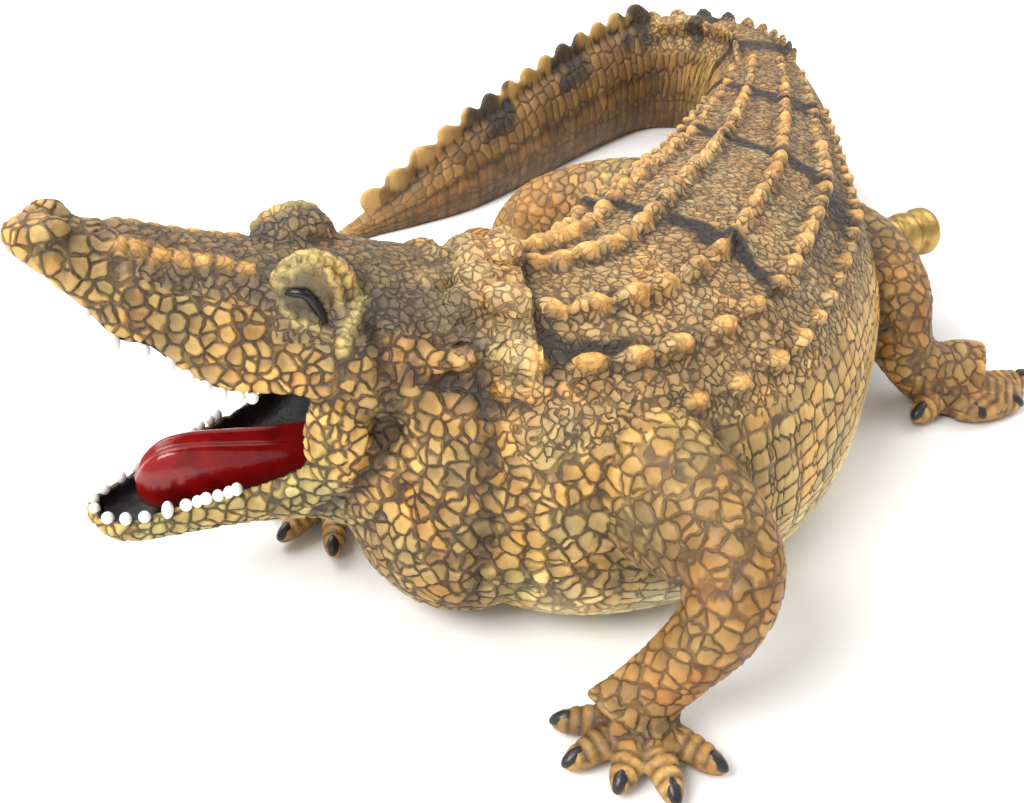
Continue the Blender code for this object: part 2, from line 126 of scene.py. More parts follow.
def loft(shell, rings):
    bm = bmesh.new()
    circle = bmesh.ops.create_circle(bm, cap_ends=True, segments=len(rings[0]), radius=1.0)
    last = list(circle["verts"])
    for vert, spot in zip(last, rings[0]):
        vert.co = Vector(spot)
    start = face = last[0].link_faces[0]
    for spots in rings[1:]:
        out = bmesh.ops.extrude_face_region(bm, geom=[face])["geom"]
        if face is not start and face.is_valid:
            bmesh.ops.delete(bm, geom=[face], context="FACES_ONLY")
        face = [part for part in out if isinstance(part, bmesh.types.BMFace)][0]
        fresh = list(face.verts)
        first = min(range(len(fresh)), key=lambda k: (fresh[k].co - last[0].co).length_squared)
        fresh = fresh[first:] + fresh[:first]
        if (fresh[1].co - last[1].co).length_squared > (fresh[-1].co - last[1].co).length_squared:
            fresh = fresh[:1] + fresh[:0:-1]
        for vert, spot in zip(fresh, spots):
            vert.co = Vector(spot)
        last = fresh
    addTo(shell, bm)


def ball(shell, centre, radii, turn=None, segments=16, rings=10):
    bm = bmesh.new()
    verts = bmesh.ops.create_uvsphere(bm, u_segments=segments, v_segments=rings, radius=1.0)["verts"]
    bmesh.ops.scale(bm, vec=Vector(radii), verts=verts)
    if turn is not None:
        bmesh.ops.rotate(bm, cent=(0, 0, 0), matrix=turn, verts=verts)
    bmesh.ops.translate(bm, vec=Vector(centre), verts=verts)
    addTo(shell, bm)


def asPiece(bm, name):
    mesh = bpy.data.meshes.new(name)
    bm.to_mesh(mesh)
    bm.free()
    piece = bpy.data.objects.new(name, mesh)
    bpy.context.scene.collection.objects.link(piece)
    return piece


def finishShell(bm, name):
    bmesh.ops.recalc_face_normals(bm, faces=bm.faces)
    return asPiece(bm, name)


def placeOnFrame(piece):
    # from sheet millimetres to metres of the frame, in the mesh itself
    piece.data.transform(Matrix.Translation(Vector(sheetShift)) @ Matrix.Scale(sheetUnit, 4))
    piece.data.update()


def settle(piece):
    graph = bpy.context.evaluated_depsgraph_get()
    mesh = bpy.data.meshes.new_from_object(piece.evaluated_get(graph))
    piece.modifiers.clear()
    old = piece.data
    piece.data = mesh
    bpy.data.meshes.remove(old)


def fuse(piece, grid):
    step = piece.modifiers.new("fuse", "REMESH")
    step.mode = "VOXEL"
    step.voxel_size = grid
    settle(piece)


def soften(piece, turns, factor=0.5):
    step = piece.modifiers.new("soften", "SMOOTH")
    step.factor = factor
    step.iterations = turns
    settle(piece)


def cutAway(piece, other):
    step = piece.modifiers.new("cut", "BOOLEAN")
    step.operation = "DIFFERENCE"
    step.solver = "MANIFOLD"
    step.object = other
    settle(piece)
    bpy.data.objects.remove(other)


# the animal's body

spineRows = (  # x, y, top, bottom, half width, share of the widest point, roundness above and below
    (76.0, -77, 86, 10, 32, 0.46, 2.2, 2.4),
    (84.0, -63, 85, 2, 40, 0.42, 2.2, 2.5),
    (89.0, -46, 83, -2, 47, 0.38, 2.2, 2.7),
    (87.0, -24, 82, -4, 50, 0.36, 2.2, 2.8),
    (76.0, -4, 81, -4, 52, 0.36, 2.2, 2.8),
    (58.0, 17, 79, -4, 52, 0.36, 2.2, 2.8),
    (34.0, 43, 74, -4, 49, 0.38, 2.2, 2.8),
    (5.0, 69, 67, -3, 42, 0.40, 2.2, 2.7),
    (-29.0, 97, 61, -2, 35, 0.42, 2.2, 2.6),
    (-66.0, 125, 56, -2, 28, 0.42, 2.2, 2.5),
    (-101.0, 146, 53, -2, 21.5, 0.40, 2.1, 2.5),
    (-130.0, 153, 51, -2, 17, 0.36, 2.0, 2.6),
    (-151.0, 144, 50, -2, 15, 0.34, 1.9, 2.8),
    (-159.0, 119, 48, -2, 13.5, 0.34, 1.8, 3.0),
    (-147.0, 84, 43.5, -2, 13, 0.34, 1.8, 3.0),
    (-131.0, 50, 37.5, -2, 12, 0.34, 1.8, 3.0),
    (-116.0, 15, 30, -2, 11, 0.34, 1.8, 3.0),
    (-110.0, -10, 17, -2, 8.5, 0.40, 1.9, 2.6),
    (-106.0, -28, 9, -1, 5.5, 0.45, 2.0, 2.4),
    (-100.0, -45, 5, 0, 2.0, 0.50, 2.0, 2.0),
)

head = {
    "at": (77.5, -80.0),
    "turn": math.radians(5.7),
    # forward, top, bottom, half width, share, roundness above and below
    "skull": (
        (-12, 84, 34, 30, 0.45, 2.2, 2.2),
        (0, 89, 42, 30, 0.42, 2.3, 2.3),
        (10, 93.5, 54, 28, 0.38, 2.3, 2.6),
        (20, 96, 63, 25.5, 0.32, 2.3, 3.0),
        (28, 97.5, 68, 22.5, 0.26, 2.3, 3.6),
        (36, 99.5, 70, 19.5, 0.22, 2.2, 4.0),
        (46, 103, 71.5, 17, 0.22, 2.2, 4.0),
        (54, 106, 77, 14.5, 0.24, 2.2, 4.0),
        (60, 108.5, 84, 12.5, 0.26, 2.2, 4.0),
        (66, 110.5, 86, 11, 0.26, 2.2, 4.0),
        (72, 112.5, 95, 9.5, 0.28, 2.2, 3.6),
        (78, 114, 102.5, 8, 0.32, 2.2, 3.0),
        (82, 113.5, 106, 6, 0.40, 2.0, 2.4),
        (84.5, 112, 108.5, 2.5, 0.5, 2.0, 2.0),
    ),
    "jaw": (
        (-10, 62, 6, 33, 0.50, 2.1, 2.2),
        (6, 67, 13, 30, 0.55, 2.2, 2.2),
        (18, 67, 19.5, 26.5, 0.62, 2.3, 2.2),
        (25, 64, 24, 23.5, 0.70, 2.6, 2.2),
        (31, 53, 27, 21, 0.74, 3.4, 2.2),
        (40, 47.5, 28.5, 18.5, 0.76, 4.0, 2.2),
        (50, 44.5, 28.8, 16, 0.76, 4.0, 2.2),
        (60, 41.5, 28.2, 13.5, 0.76, 4.0, 2.2),
        (70, 38.0, 28, 11, 0.74, 4.0, 2.2),
        (76, 37.0, 29.2, 8.8, 0.70, 3.2, 2.2),
        (79.5, 38.0, 32, 6, 0.60, 2.4, 2.0),
        (81.5, 38.0, 35.5, 2.5, 0.5, 2.0, 2.0),
    ),
    "mouth": (
        (8, 61, 54, 6, 0.5, 2.2, 2.2),
        (17, 69, 47, 14, 0.5, 2.6, 2.6),
        (26, 73.5, 42, 19, 0.5, 4.0, 4.0),
        (36, 75, 38.5, 17.0, 0.5, 7.0, 7.0),
        (46, 76.5, 36, 14.6, 0.5, 8.0, 8.0),
        (56, 82.5, 34, 12.0, 0.5, 8.0, 8.0),
        (66, 90, 32.5, 9.6, 0.5, 7.0, 7.0),
        (73, 97, 32.2, 7.6, 0.5, 6.0, 6.0),
        (78, 103.5, 33.2, 4.6, 0.5, 4.0, 4.0),
    ),
    "tongue": (
        (10, 48, 38, 6.0, 0.5, 2.2, 2.4),
        (20, 47, 37, 7.4, 0.5, 2.3, 2.4),
        (32, 47.5, 35, 8.2, 0.5, 2.4, 2.4),
        (44, 49.8, 33.5, 8.0, 0.5, 2.2, 2.4),
        (54, 51.8, 33, 7.3, 0.5, 2.1, 2.4),
        (61, 51.8, 33, 6.1, 0.5, 2.0, 2.4),
        (66, 48.5, 34, 4.4, 0.5, 2.0, 2.4),
        (69, 43.5, 36, 1.8, 0.5, 2.0, 2.0),
    ),
}

limbs = (  # x, y, z, radius across, radius in height
    ((112, -38, 44, 20, 24), (130, -39, 46, 17, 21), (147, -36, 45, 14.5, 16), (158, -36, 40.5, 12.0, 12.5),
     (162, -41, 32, 9.8, 10.5), (161, -48, 23, 8.4, 8.6), (159, -54, 15, 8.8, 7.2),
     (158.5, -59, 9, 11, 6.2), (159, -64, 6, 12, 5)),
    ((70, -58, 44, 18, 22), (52, -60, 44, 16, 18), (38, -64, 40, 13, 14), (32, -72, 31, 11, 12),
     (36, -82, 21, 9.4, 9.5), (43, -90, 13, 9.6, 7.5), (49, -95, 8, 11, 6.2), (53, -99, 5.5, 11.5, 5)),
    ((10, 74, 34, 18, 20), (31, 82, 37, 16.5, 17), (50, 86, 36.5, 14.5, 15), (64, 85, 32, 12.5, 13.5),
     (72, 83, 24.5, 10.5, 11), (76, 86, 17, 9.5, 9), (79, 92, 11, 10.5, 8),
     (83, 100, 8, 13.5, 6.5), (86, 107, 6, 14, 5.5)),
    ((-10, 66, 32, 16, 18), (-32, 50, 31, 14, 15), (-46, 36, 28, 12.5, 13), (-54, 22, 23.5, 10.5, 11),
     (-57, 13, 16, 9, 9), (-60, 11, 10, 9.5, 7), (-63, 9, 6.5, 12, 5.5), (-66, 7, 4.5, 12, 4.5)),
)

feet = (  # palm, toe tips, thickness
    ((160, -57), ((150, -75), (162, -78), (173, -71), (181, -61), (178, -47)), 3.7),
    ((50, -94), ((46, -114), (61, -114), (73, -103), (34, -108), (30, -98)), 3.6),
    ((84, 97), ((90, 80), (98, 99), (98, 114), (88, 127)), 4.2),
    ((-59, 12), ((-62, -6), (-72, -4), (-80, 4), (-81, 15)), 3.9),
)
webs = (((91, 106, 4.0), (9, 15, 6)), ((-70, 4, 4.0), (11, 9, 5.5)))
toeShape = (  # share of the way from the palm to the tip, share of the thickness, height
    (0.12, 1.1, 5.2), (0.45, 1.02, 4.9), (0.7, 0.96, 4.3), (0.88, 0.8, 3.7), (0.99, 0.52, 3.0), (1.05, 0.16, 2.4),
)


def onHead(forward, left, up):
    turn = head["turn"]
    return np.array([
        head["at"][0] - forward * math.sin(turn) + left * math.cos(turn),
        head["at"][1] - forward * math.cos(turn) - left * math.sin(turn),
        up,
    ])


def headRows(rows):
    return [tuple(onHead(row[0], 0, 0)[:2]) + row[1:] for row in rows]


spineSteps = 12
spineFine = smoothRows(spineRows, spineSteps)
spineRun = directions(spineFine, 2)


def lengthsAlong(line):
    return np.concatenate([[0], np.cumsum(np.linalg.norm(np.diff(line, axis=0), axis=1))])


spineArc = lengthsAlong(spineFine[:, :2])
spineCount = np.arange(len(spineArc))


def arcOf(place):
    return np.interp(np.asarray(place) * spineSteps, spineCount, spineArc)


def placeOf(arc):
    return np.interp(arc, spineArc, spineCount) / spineSteps


def spineAt(place):
    spot = min(max(place * spineSteps, 0), len(spineFine) - 1.001)
    k = int(spot)
    return spineFine[k] + (spineFine[k + 1] - spineFine[k]) * (spot - k), spineRun[k]


def onBack(place, share):
    row, run = spineAt(place)
    x, y, top, bottom, half, widest, above, below = row
    middle = bottom + widest * (top - bottom)
    up = middle + (top - middle) * (1 - abs(share) ** above) ** (1 / above)
    return np.array([x + run[1] * half * share, y - run[0] * half * share, up])


def backFrame(place, share):
    # the spot on the back, the way to the tail along the skin, the way to the side, and out of the skin
    spot = onBack(place, share)
    rise = onBack(place + 0.05, share) - onBack(place - 0.05, share)
    beside = onBack(place, share + 0.02) - onBack(place, share - 0.02)
    rise /= np.linalg.norm(rise)
    beside /= np.linalg.norm(beside)
    out = np.cross(beside, rise)
    out *= np.sign(out[2])
    return spot, rise, beside, out


def placesAlong(first, last, spacing):
    start, end = arcOf((first, last))
    count = max(2, int(round((end - start) / spacing)) + 1)
    return placeOf(np.linspace(start, end, count))


keels = {
    # share of the half width, first and last place, size
    "rows": ((0.21, 1.35, 9.6, 1.0), (0.50, 1.5, 9.2, 1.0), (0.70, 2.6, 8.6, 0.85)),
    "spacing": (7.6, 10.8),
    "spreadOver": 70,
    "size": (5.6, 2.8, 5.2),
    "lean": 34.0,
    "sink": 0.6,
    "midline": 0.10,
}
crest = {
    # share of the half width, first and last place
    "double": (0.46, 9.6, 12.6),
    "single": (0.0, 12.9, 17.7),
    "spacing": 11.8,
    "size": (7.4, 2.5, 9.4),
    "lean": 28.0,
    "tip": (5.4, 2.0, 6.4),
    "tipLean": 40,
    "smallUntil": 16.2,
}


def keelPlaces(first, last):
    # close together on the shoulders, further apart behind them
    arc, end = arcOf((first, last))
    start, spots = arc, []
    near, far = keels["spacing"]
    while arc < end:
        spots.append(placeOf(arc))
        arc += near + (far - near) * min(1.0, (arc - start) / keels["spreadOver"])
    return spots


def keelSpots():
    # place, share of the half width and size of each keel, row by row
    for share, first, last, size in keels["rows"]:
        for place in keelPlaces(first, last):
            drift = keels["midline"] * max(0.0, 1 - place / 9)
            for side in (-1, 1):
                yield place, drift + side * share, size


def crestSpots():
    for kind, closer in (("double", 0.8), ("single", 1.0)):
        share, first, last = crest[kind]
        for place in placesAlong(first, last, crest["spacing"] * closer):
            for side in ((-1, 1) if share else (1,)):
                yield kind, place, side * share


def leanBall(bm, spot, rise, beside, out, size, lean, sink):
    # an egg that stands on the skin and leans to the tail
    tilt = math.radians(lean)
    up = out * math.cos(tilt) + rise * math.sin(tilt)
    along = rise * math.cos(tilt) - out * math.sin(tilt)
    turn = Matrix((along, beside, up)).transposed()
    ball(bm, spot - out * sink, size, turn, 12, 8)


def backScales(bm):
    random = np.random.default_rng(5)
    for place, share, size in keelSpots():
        fade = min(1.0, max(0.55, 0.55 + 0.12 * (10.0 - place)))
        vary = size * fade * random.uniform(0.88, 1.1)
        at = backFrame(place + random.uniform(-0.04, 0.04), share)
        leanBall(bm, *at, [v * vary for v in keels["size"]], keels["lean"], keels["sink"])
    for kind, place, share in crestSpots():
        spot, rise, beside, out = backFrame(place, share)
        if kind == "double":
            out = out * 0.4 + np.array([0, 0, 0.6])
            out /= np.linalg.norm(out)
            leanBall(bm, spot, rise, beside, out, [v * 0.70 for v in crest["size"]], crest["lean"] * 0.7, 0.5)
            continue
        size = 0.9 if place < crest["smallUntil"] else 1.05
        leanBall(bm, spot, rise, beside, out, [v * size for v in crest["size"]], crest["lean"], 1.4)
        tip = spot + rise * 2.4 + out * 3.4
        leanBall(bm, tip, rise, beside, out, [size * v for v in crest["tip"]], crest["tipLean"], 0.0)


neckEggs = (  # spots of the large raised scales of the neck, and their sizes
    ((103.4, -83.3, 77), 4.6), ((94, -71.8, 83), 4.4), ((112.6, -70.8, 71.8), 4.2), ((116, -64.3, 71.5), 4.0),
    ((99.5, -90.2, 80.5), 4.0), ((73.8, -72, 85), 4.2), ((79.6, -62.7, 84.6), 4.2), ((106.0, -77.5, 77.0), 3.6),
    ((86, -78, 86), 3.8), ((88.5, -66, 85.2), 4.2), ((62, -70, 82), 4.0), ((66, -60, 81), 4.0), ((54, -66, 76), 3.8),
    ((58, -82, 81), 3.8), ((50, -58, 72), 3.6), ((118, -56, 70), 3.6), ((96.5, -62, 82.8), 3.8),
)


def bodyShell():
    bm = bmesh.new()
    loft(bm, uprightRings(spineRows))
    for part in ("skull", "jaw"):
        loft(bm, uprightRings(headRows(head[part])))
    spin = Matrix.Rotation(-head["turn"], 3, "Z")
    ball(bm, (87, -74, 28), (36, 28, 30), spin, 24, 14)
    for side in (-1, 1):
        ball(bm, onHead(21, 18.5 * side, 56), (8.5, 10.0, 18), spin)  # cheek
        ball(bm, onHead(23, 11.0 * side, 94.5), (7.0, 10.0, 7.2), spin)  # eye mound
        ball(bm, onHead(75.5, 4.2 * side, 111.8), (3.6, 5.2, 3.8), spin)  # nostril mound
    for spot, size in neckEggs:
        ball(bm, spot, (size * 0.8, size * 1.05, size * 0.75), spin, 12, 8)
    for rows in limbs:
        loft(bm, limbRings(rows))
    for centre, radii in webs:
        ball(bm, centre, radii)
    for palm, tips, thick in feet:
        for tip in tips:
            rows = []
            for share, size, high in toeShape:
                x, y = (palm[k] + (tip[k] - palm[k]) * share for k in (0, 1))
                rows.append((x, y, high, thick * size, thick * size))
            loft(bm, limbRings(rows, 16, 6))
    backScales(bm)
    return finishShell(bm, "animalSkin")


skinSettings = {
    "grid": 0.72,
    "firstGrid": 1.25,  # the first fusing is this much coarser
    # most triangles of each piece of the skin
    "triangles": {"head": 190000, "body": 194000, "tail": 120000},
    # how near to a cut no point is thinned out, and how near the pieces share their normals
    "keptGap": 1.6,
    "normalGap": 1.2,
    # turns of smoothing that the hollows are measured against
    "hollows": {"hollowWide": 70, "hollowFine": 10},
}
skin = bodyShell()
fuse(skin, skinSettings["grid"] * skinSettings["firstGrid"])
soften(skin, 3)
hollow = bmesh.new()
loft(hollow, uprightRings(headRows(head["mouth"])))
cutAway(skin, finishShell(hollow, "mouthHollow"))
fuse(skin, skinSettings["grid"])
soften(skin, 2)
print("skin fused", len(skin.data.vertices))


# where each point of the skin lies on the animal

def readAll(items, what, width, kind=np.float32):
    out = np.empty(len(items) * width, kind)
    items.foreach_get(what, out)
    return out.reshape(-1, width)


def meshArray(mesh, what):
    return readAll(mesh.vertices, what, 3).astype(float)


def step(low, high, value):
    t = np.clip((value - low) / (high - low), 0, 1)
    return t * t * (3 - 2 * t)


def hump(value, centre, width):
    return np.exp(-((value - centre) / width) ** 2)


def blob(*axes, sharp=1):
    # 1 at the centre, 0 outside: for each axis a value, its centre and its half width
    return np.exp(-sum(((value - centre) / width) ** 2 for value, centre, width in axes) ** sharp)


def waves(along, pitch):
    # 0 at each pitch of a line, 1 half way between
    return np.abs(np.sin(math.pi * along / pitch))


def inParts(points, work, size=20000):
    # the same work on a few thousand points at a time, to keep the tables small
    return [work(points[start:start + size]) for start in range(0, len(points), size)]


def headPlace(points):
    turn = head["turn"]
    dx, dy = points[:, 0] - head["at"][0], points[:, 1] - head["at"][1]
    forward = -dx * math.sin(turn) - dy * math.cos(turn)
    left = dx * math.cos(turn) - dy * math.sin(turn)
    return forward, left, points[:, 2]


def spinePlace(points):
    found = np.concatenate(inParts(points[:, :2], lambda part: (
        (part[:, None, :] - spineFine[None, :, :2]) ** 2).sum(axis=2).argmin(axis=1)))
    row, run = spineFine[found], spineRun[found]
    off = points[:, :2] - row[:, :2]
    arc = spineArc[found] + (off * run).sum(axis=1)
    side = off[:, 0] * run[:, 1] - off[:, 1] * run[:, 0]
    place = np.interp(arc, spineArc, np.arange(len(spineArc)) / spineSteps)
    middle = row[:, 3] + row[:, 5] * (row[:, 2] - row[:, 3])
    high = np.where(points[:, 2] > middle, row[:, 2] - middle, middle - row[:, 3])
    angle = np.arctan2((points[:, 2] - middle) / high, side / row[:, 4])
    return place, arc, side / row[:, 4], angle, (points[:, 2] - middle) / high, run


def limbPlace(points):
    # nearness to the closest leg, 1 on its skin, how far down the leg it is, and which way the leg runs
    best = np.full(len(points), 9.0)
    down = np.zeros(len(points))
    way = np.zeros((len(points), 3))
    for rows in limbs:
        fine = smoothRows(rows, 6)
        ahead = directions(fine, 3)

        def nearness(part):
            gap = np.sqrt(((part[:, None, :] - fine[None, :, :3]) ** 2).sum(axis=2))
            gap /= (fine[None, :, 3] + fine[None, :, 4]) / 2
            near = gap.argmin(axis=1)
            return np.stack([gap[np.arange(len(part)), near], near], axis=1)

        found = np.concatenate(inParts(points, nearness))
        better = found[:, 0] < best
        near = found[:, 1].astype(int)
        best[better] = found[better, 0]
        down[better] = near[better] / (len(fine) - 1)
        way[better] = ahead[near[better]]
    return best, down, way


def footPlace(points):
    # distance from the nearest toe's line over its thickness, and how far along the toe
    best = np.full(len(points), 9.0)
    along = np.zeros(len(points))
    for palm, tips, thick in feet:
        for tip in tips:
            start = np.array(palm, float)
            run = np.array(tip, float) - start
            share = np.clip(((points[:, :2] - start) @ run) / (run @ run), 0.1, 1.1)
            gap = np.linalg.norm(points[:, :2] - (start + share[:, None] * run), axis=1) / thick
            better = gap < best
            best[better] = gap[better]
            along[better] = share[better] * np.linalg.norm(run)
    return best, along


def mouthPlace(points):
    f, l, z = headPlace(points)
    rows = smoothRows(head["mouth"], 6)
    top, low, half = (np.interp(f, rows[:, 0], rows[:, k]) for k in (1, 2, 3))
    side = 1 - np.abs(l) / (half + 0.55)
    inside = (f > 6) & (f < 79.0) & (side > 0) & (z < top + 1.2) & (z > low - 1.2)
    return inside.astype(float)


def writeValues(mesh, name, values, kind="FLOAT"):
    if name in mesh.attributes:
        mesh.attributes.remove(mesh.attributes[name])
    layer = mesh.attributes.new(name, kind, "POINT")
    field = {"FLOAT": "value", "FLOAT_VECTOR": "vector", "FLOAT_COLOR": "color"}[kind]
    layer.data.foreach_set(field, np.ascontiguousarray(values, np.float32).ravel())


def readValues(mesh, name):
    wide = mesh.attributes[name].data_type == "FLOAT_VECTOR"
    what, width = ("vector", 3) if wide else ("value", 1)
    out = readAll(mesh.attributes[name].data, what, width).astype(float)
    return out if wide else out[:, 0]


def dropValues(mesh, names):
    for name in names:
        mesh.attributes.remove(mesh.attributes[name])


def lineGap(points, line):
    # distance from a line through a few points, and how far along it
    line = smoothRows(line, 4)
    arc = lengthsAlong(line)

    def nearest(part):
        gap = ((part[:, None, :] - line[None, :, :]) ** 2).sum(axis=2)
        near = gap.argmin(axis=1)
        return np.stack([np.sqrt(gap[np.arange(len(part)), near]), arc[near]], axis=1)

    found = np.concatenate(inParts(points, nearest))
    return found[:, 0], found[:, 1]


# lines of the face in the head's own place: forward, left, up
face = {
    "eye": (26.5, 17.0, 95.0),
    "slit": ((30.8, 16.2, 94.8), (28.9, 16.9, 95.7), (27.1, 17.7, 95.7), (25.6, 18.3, 94.6),
             (24.3, 18.1, 92.3), (23.2, 18.7, 90.3), (22.6, 20.0, 88.4)),
    "brow": ((32.4, 13.4, 96.4), (31.0, 12.7, 99.4), (28.6, 12.6, 101.4), (25.5, 12.0, 102.1),
             (21.9, 13.3, 102.2), (18.7, 14.8, 100.2),
             (15.8, 15.7, 96.9), (14.5, 16.5, 92.8), (15.5, 18.7, 89.7), (18.0, 21.5, 86.8),
             (20.1, 23.1, 84.3)),
    "innerBrow": ((30.4, 14.6, 98.6), (28.6, 14.7, 100.2), (26.2, 14.9, 100.9), (22.7, 16.3, 100.6),
                  (20.1, 17.3, 98.4), (18.4, 17.5, 94.7), (18.6, 18.4, 91.2)),
    "underLid": ((31.6, 15.8, 93.0), (30.3, 16.7, 90.6), (28.3, 17.8, 88.6), (25.4, 18.8, 87.6),
                 (22.6, 20.2, 85.6)),
    "snoutRow": ((35.0, 8.0, 97.0), (41.1, 6.9, 99.6), (45.2, 6.9, 100.9), (49.2, 7.0, 102.2),
                 (56.0, 6.4, 104.9), (61.6, 5.6, 107.5)),
    "valley": ((12.6, 22.5, 87.0), (11.8, 24.8, 81.8), (11.2, 27.2, 74.0), (11.9, 27.0, 64.8),
               (13.5, 26.8, 56.5), (16.9, 26.8, 49.4),
               (22.0, 24.1, 42.0), (27.0, 19.0, 36.0)),
    "nape": ((11.0, 23.0, 84.0), (7.9, 24.8, 81.5), (4.1, 26.9, 76.6), (-2.0, 30.0, 73.5),
             (-7.9, 32.7, 70.9), (-14.0, 36.0, 69.0)),
}


faceRidges = {  # half width, share of the brow's height, length of one bead
    "brow": (1.6, 1.0, 3.4),
    "innerBrow": (1.1, 0.7, 2.5),
    "underLid": (0.9, 0.6, 2.4),
    "snoutRow": (2.2, 0.8, 4.6),
}


def snapFace(piece):
    # moves the points of each line onto the skin of the left side
    points = meshArray(piece.data, "co")
    f, l, z = headPlace(points)
    near = (f > -20) & (f < 84) & (l > 0) & (z > 30)
    spots = np.stack([f[near], l[near], z[near]], axis=1)
    for name, line in face.items():
        line = smoothRows(np.atleast_2d(line), 3) if name != "eye" else np.array([line])
        face[name] = np.array([spots[((spots - spot) ** 2).sum(axis=1).argmin()] for spot in line])
    face["eye"] = face["eye"][0]


def faceGap(points, name, near):
    # as lineGap, for the line of either side of the head that a point is nearer to
    f, l, z = headPlace(points)
    gap = np.full(len(points), 99.0)
    arc = np.zeros(len(points))
    close = np.where((f > -20) & (f < 80) & (z > 28) & near)[0]
    spots = np.stack([f[close], np.abs(l[close]), z[close]], axis=1)
    if len(close):
        gap[close], arc[close] = lineGap(spots, face[name])
    return gap, arc


scaleSizes = {"large": 4.2, "medium": 3.7, "small": 2.5, "flank": 4.2, "tail": 4.6}
scaleRows = {"flank": 11.5, "tail": 2.9}  # rows of scales for each radian round the body
toeRings = {"pitch": 2.9, "start": (8.5, 12.0)}


def regionsOf(points):
    # weights of the kinds of scale, and the coordinates that their patterns follow
    f, l, z = headPlace(points)
    place, arc, share, angle, high, run = spinePlace(points)
    legGap, legDown, legWay = limbPlace(points)
    toeGap, toeAlong = footPlace(points)
    headPart = step(-16, -7, f) * (z > 2)
    toes = step(1.5, 1.2, toeGap) * (points[:, 2] < 15)
    leg = np.maximum(step(1.42, 1.12, legGap) * step(0.04, 0.2, legDown), toes) * (1 - headPart)
    headPart = headPart * (1 - toes)
    skullTop = np.interp(f, [r[0] for r in head["skull"]], [r[1] for r in head["skull"]])
    crown = headPart * step(9.5, 6.0, skullTop - z) * step(66, 52, f)
    crown = np.maximum(crown, headPart * step(13, 17, z - 70) * step(36, 31, f))
    top = step(0.90, 0.72, np.abs(share - 0.05)) * step(0.05, 0.3, high) * step(14.0, 12.0, place)
    nape = step(2.2, 1.2, place) * (1 - headPart) * step(0.35, 0.6, high)
    back = top * step(0.6, 1.6, place) * (1 - headPart) * (1 - leg)
    back = np.clip(np.maximum(back, np.maximum(crown, nape * (1 - leg))), 0, 1)
    shoulder = step(2.6, 1.4, place) * (points[:, 0] > 20)
    irregular = np.clip(np.maximum(headPart, np.maximum(leg, shoulder)), 0, 1)
    coarse = (1 - headPart) + headPart * step(30, 14, f) * step(78, 68, z)
    large = np.clip(np.maximum(leg, coarse), 0, 1)
    tailPart = step(8.0, 12.0, place)
    count, size = (rows["flank"] + (rows["tail"] - rows["flank"]) * tailPart for rows in (scaleRows, scaleSizes))
    flow = np.stack([arc / size, angle * count, np.zeros(len(points))], axis=1)
    way = np.stack([run[:, 0], run[:, 1], np.zeros(len(points)) - 0.15], axis=1)
    headWay = np.array(onHead(-1, 0, 0) - onHead(0, 0, 0))
    way = way * (1 - headPart)[:, None] + (headWay + np.array([0, 0, -0.45])) * headPart[:, None]
    way = way * (1 - leg)[:, None] + legWay * leg[:, None]
    way /= np.linalg.norm(way, axis=1)[:, None] + 1e-9
    return {"f": f, "l": l, "z": z, "place": place, "arc": arc, "share": share, "high": high,
            "legGap": legGap, "legDown": legDown, "leg": leg, "toes": toes, "toeGap": toeGap,
            "toeStart": step(*toeRings["start"], toeAlong), "toeWave": waves(toeAlong, toeRings["pitch"]) ** 0.7,
            "head": headPart, "crown": crown, "back": back, "large": large, "irregular": irregular,
            "flow": flow, "way": way, "mouth": mouthPlace(points)}


# the same scale pattern is worked out twice: for the relief of the mesh, and in the paint

def makeNode(tree, kind, **values):
    node = tree.nodes.new(kind)
    for name, value in values.items():
        setattr(node, name, value)
    return node


def mathNode(tree, operation, a, b=None, clamp=False):
    node = makeNode(tree, "ShaderNodeMath", operation=operation, use_clamp=clamp)
    for k, value in enumerate((a, b)):
        if value is None:
            continue
        if isinstance(value, (int, float)):
            node.inputs[k].default_value = value
        else:
            tree.links.new(value, node.inputs[k])
    return node.outputs[0]


def vectorNode(tree, operation, a, b=None, scale=None):
    node = makeNode(tree, "ShaderNodeVectorMath", operation=operation)
    tree.links.new(a, node.inputs[0])
    if b is not None:
        if isinstance(b, tuple):
            node.inputs[1].default_value = b
        else:
            tree.links.new(b, node.inputs[1])
    if scale is not None:
        if isinstance(scale, (int, float)):
            node.inputs["Scale"].default_value = scale
        else:
            tree.links.new(scale, node.inputs["Scale"])
    return node.outputs["Value"] if operation in ("DOT_PRODUCT", "LENGTH") else node.outputs[0]


def mapped(tree, value, low, high, toLow=0.0, toHigh=1.0, smooth=True):
    node = makeNode(tree, "ShaderNodeMapRange", interpolation_type="SMOOTHSTEP" if smooth else "LINEAR")
    tree.links.new(value, node.inputs[0])
    for k, number in enumerate((low, high, toLow, toHigh)):
        node.inputs[k + 1].default_value = number
    return node.outputs[0]


def mixed(tree, share, a, b):
    node = makeNode(tree, "ShaderNodeMix", data_type="FLOAT")
    tree.links.new(share, node.inputs[0])
    tree.links.new(a, node.inputs[2])
    tree.links.new(b, node.inputs[3])
    return node.outputs[0]


def times(tree, first, *others):
    for other in others:
        first = mathNode(tree, "MULTIPLY", first, other)
    return first


def apart(tree, value):
    # the three numbers of a vector or colour
    split = tree.nodes.new("ShaderNodeSeparateXYZ")
    tree.links.new(value, split.inputs[0])
    return split.outputs


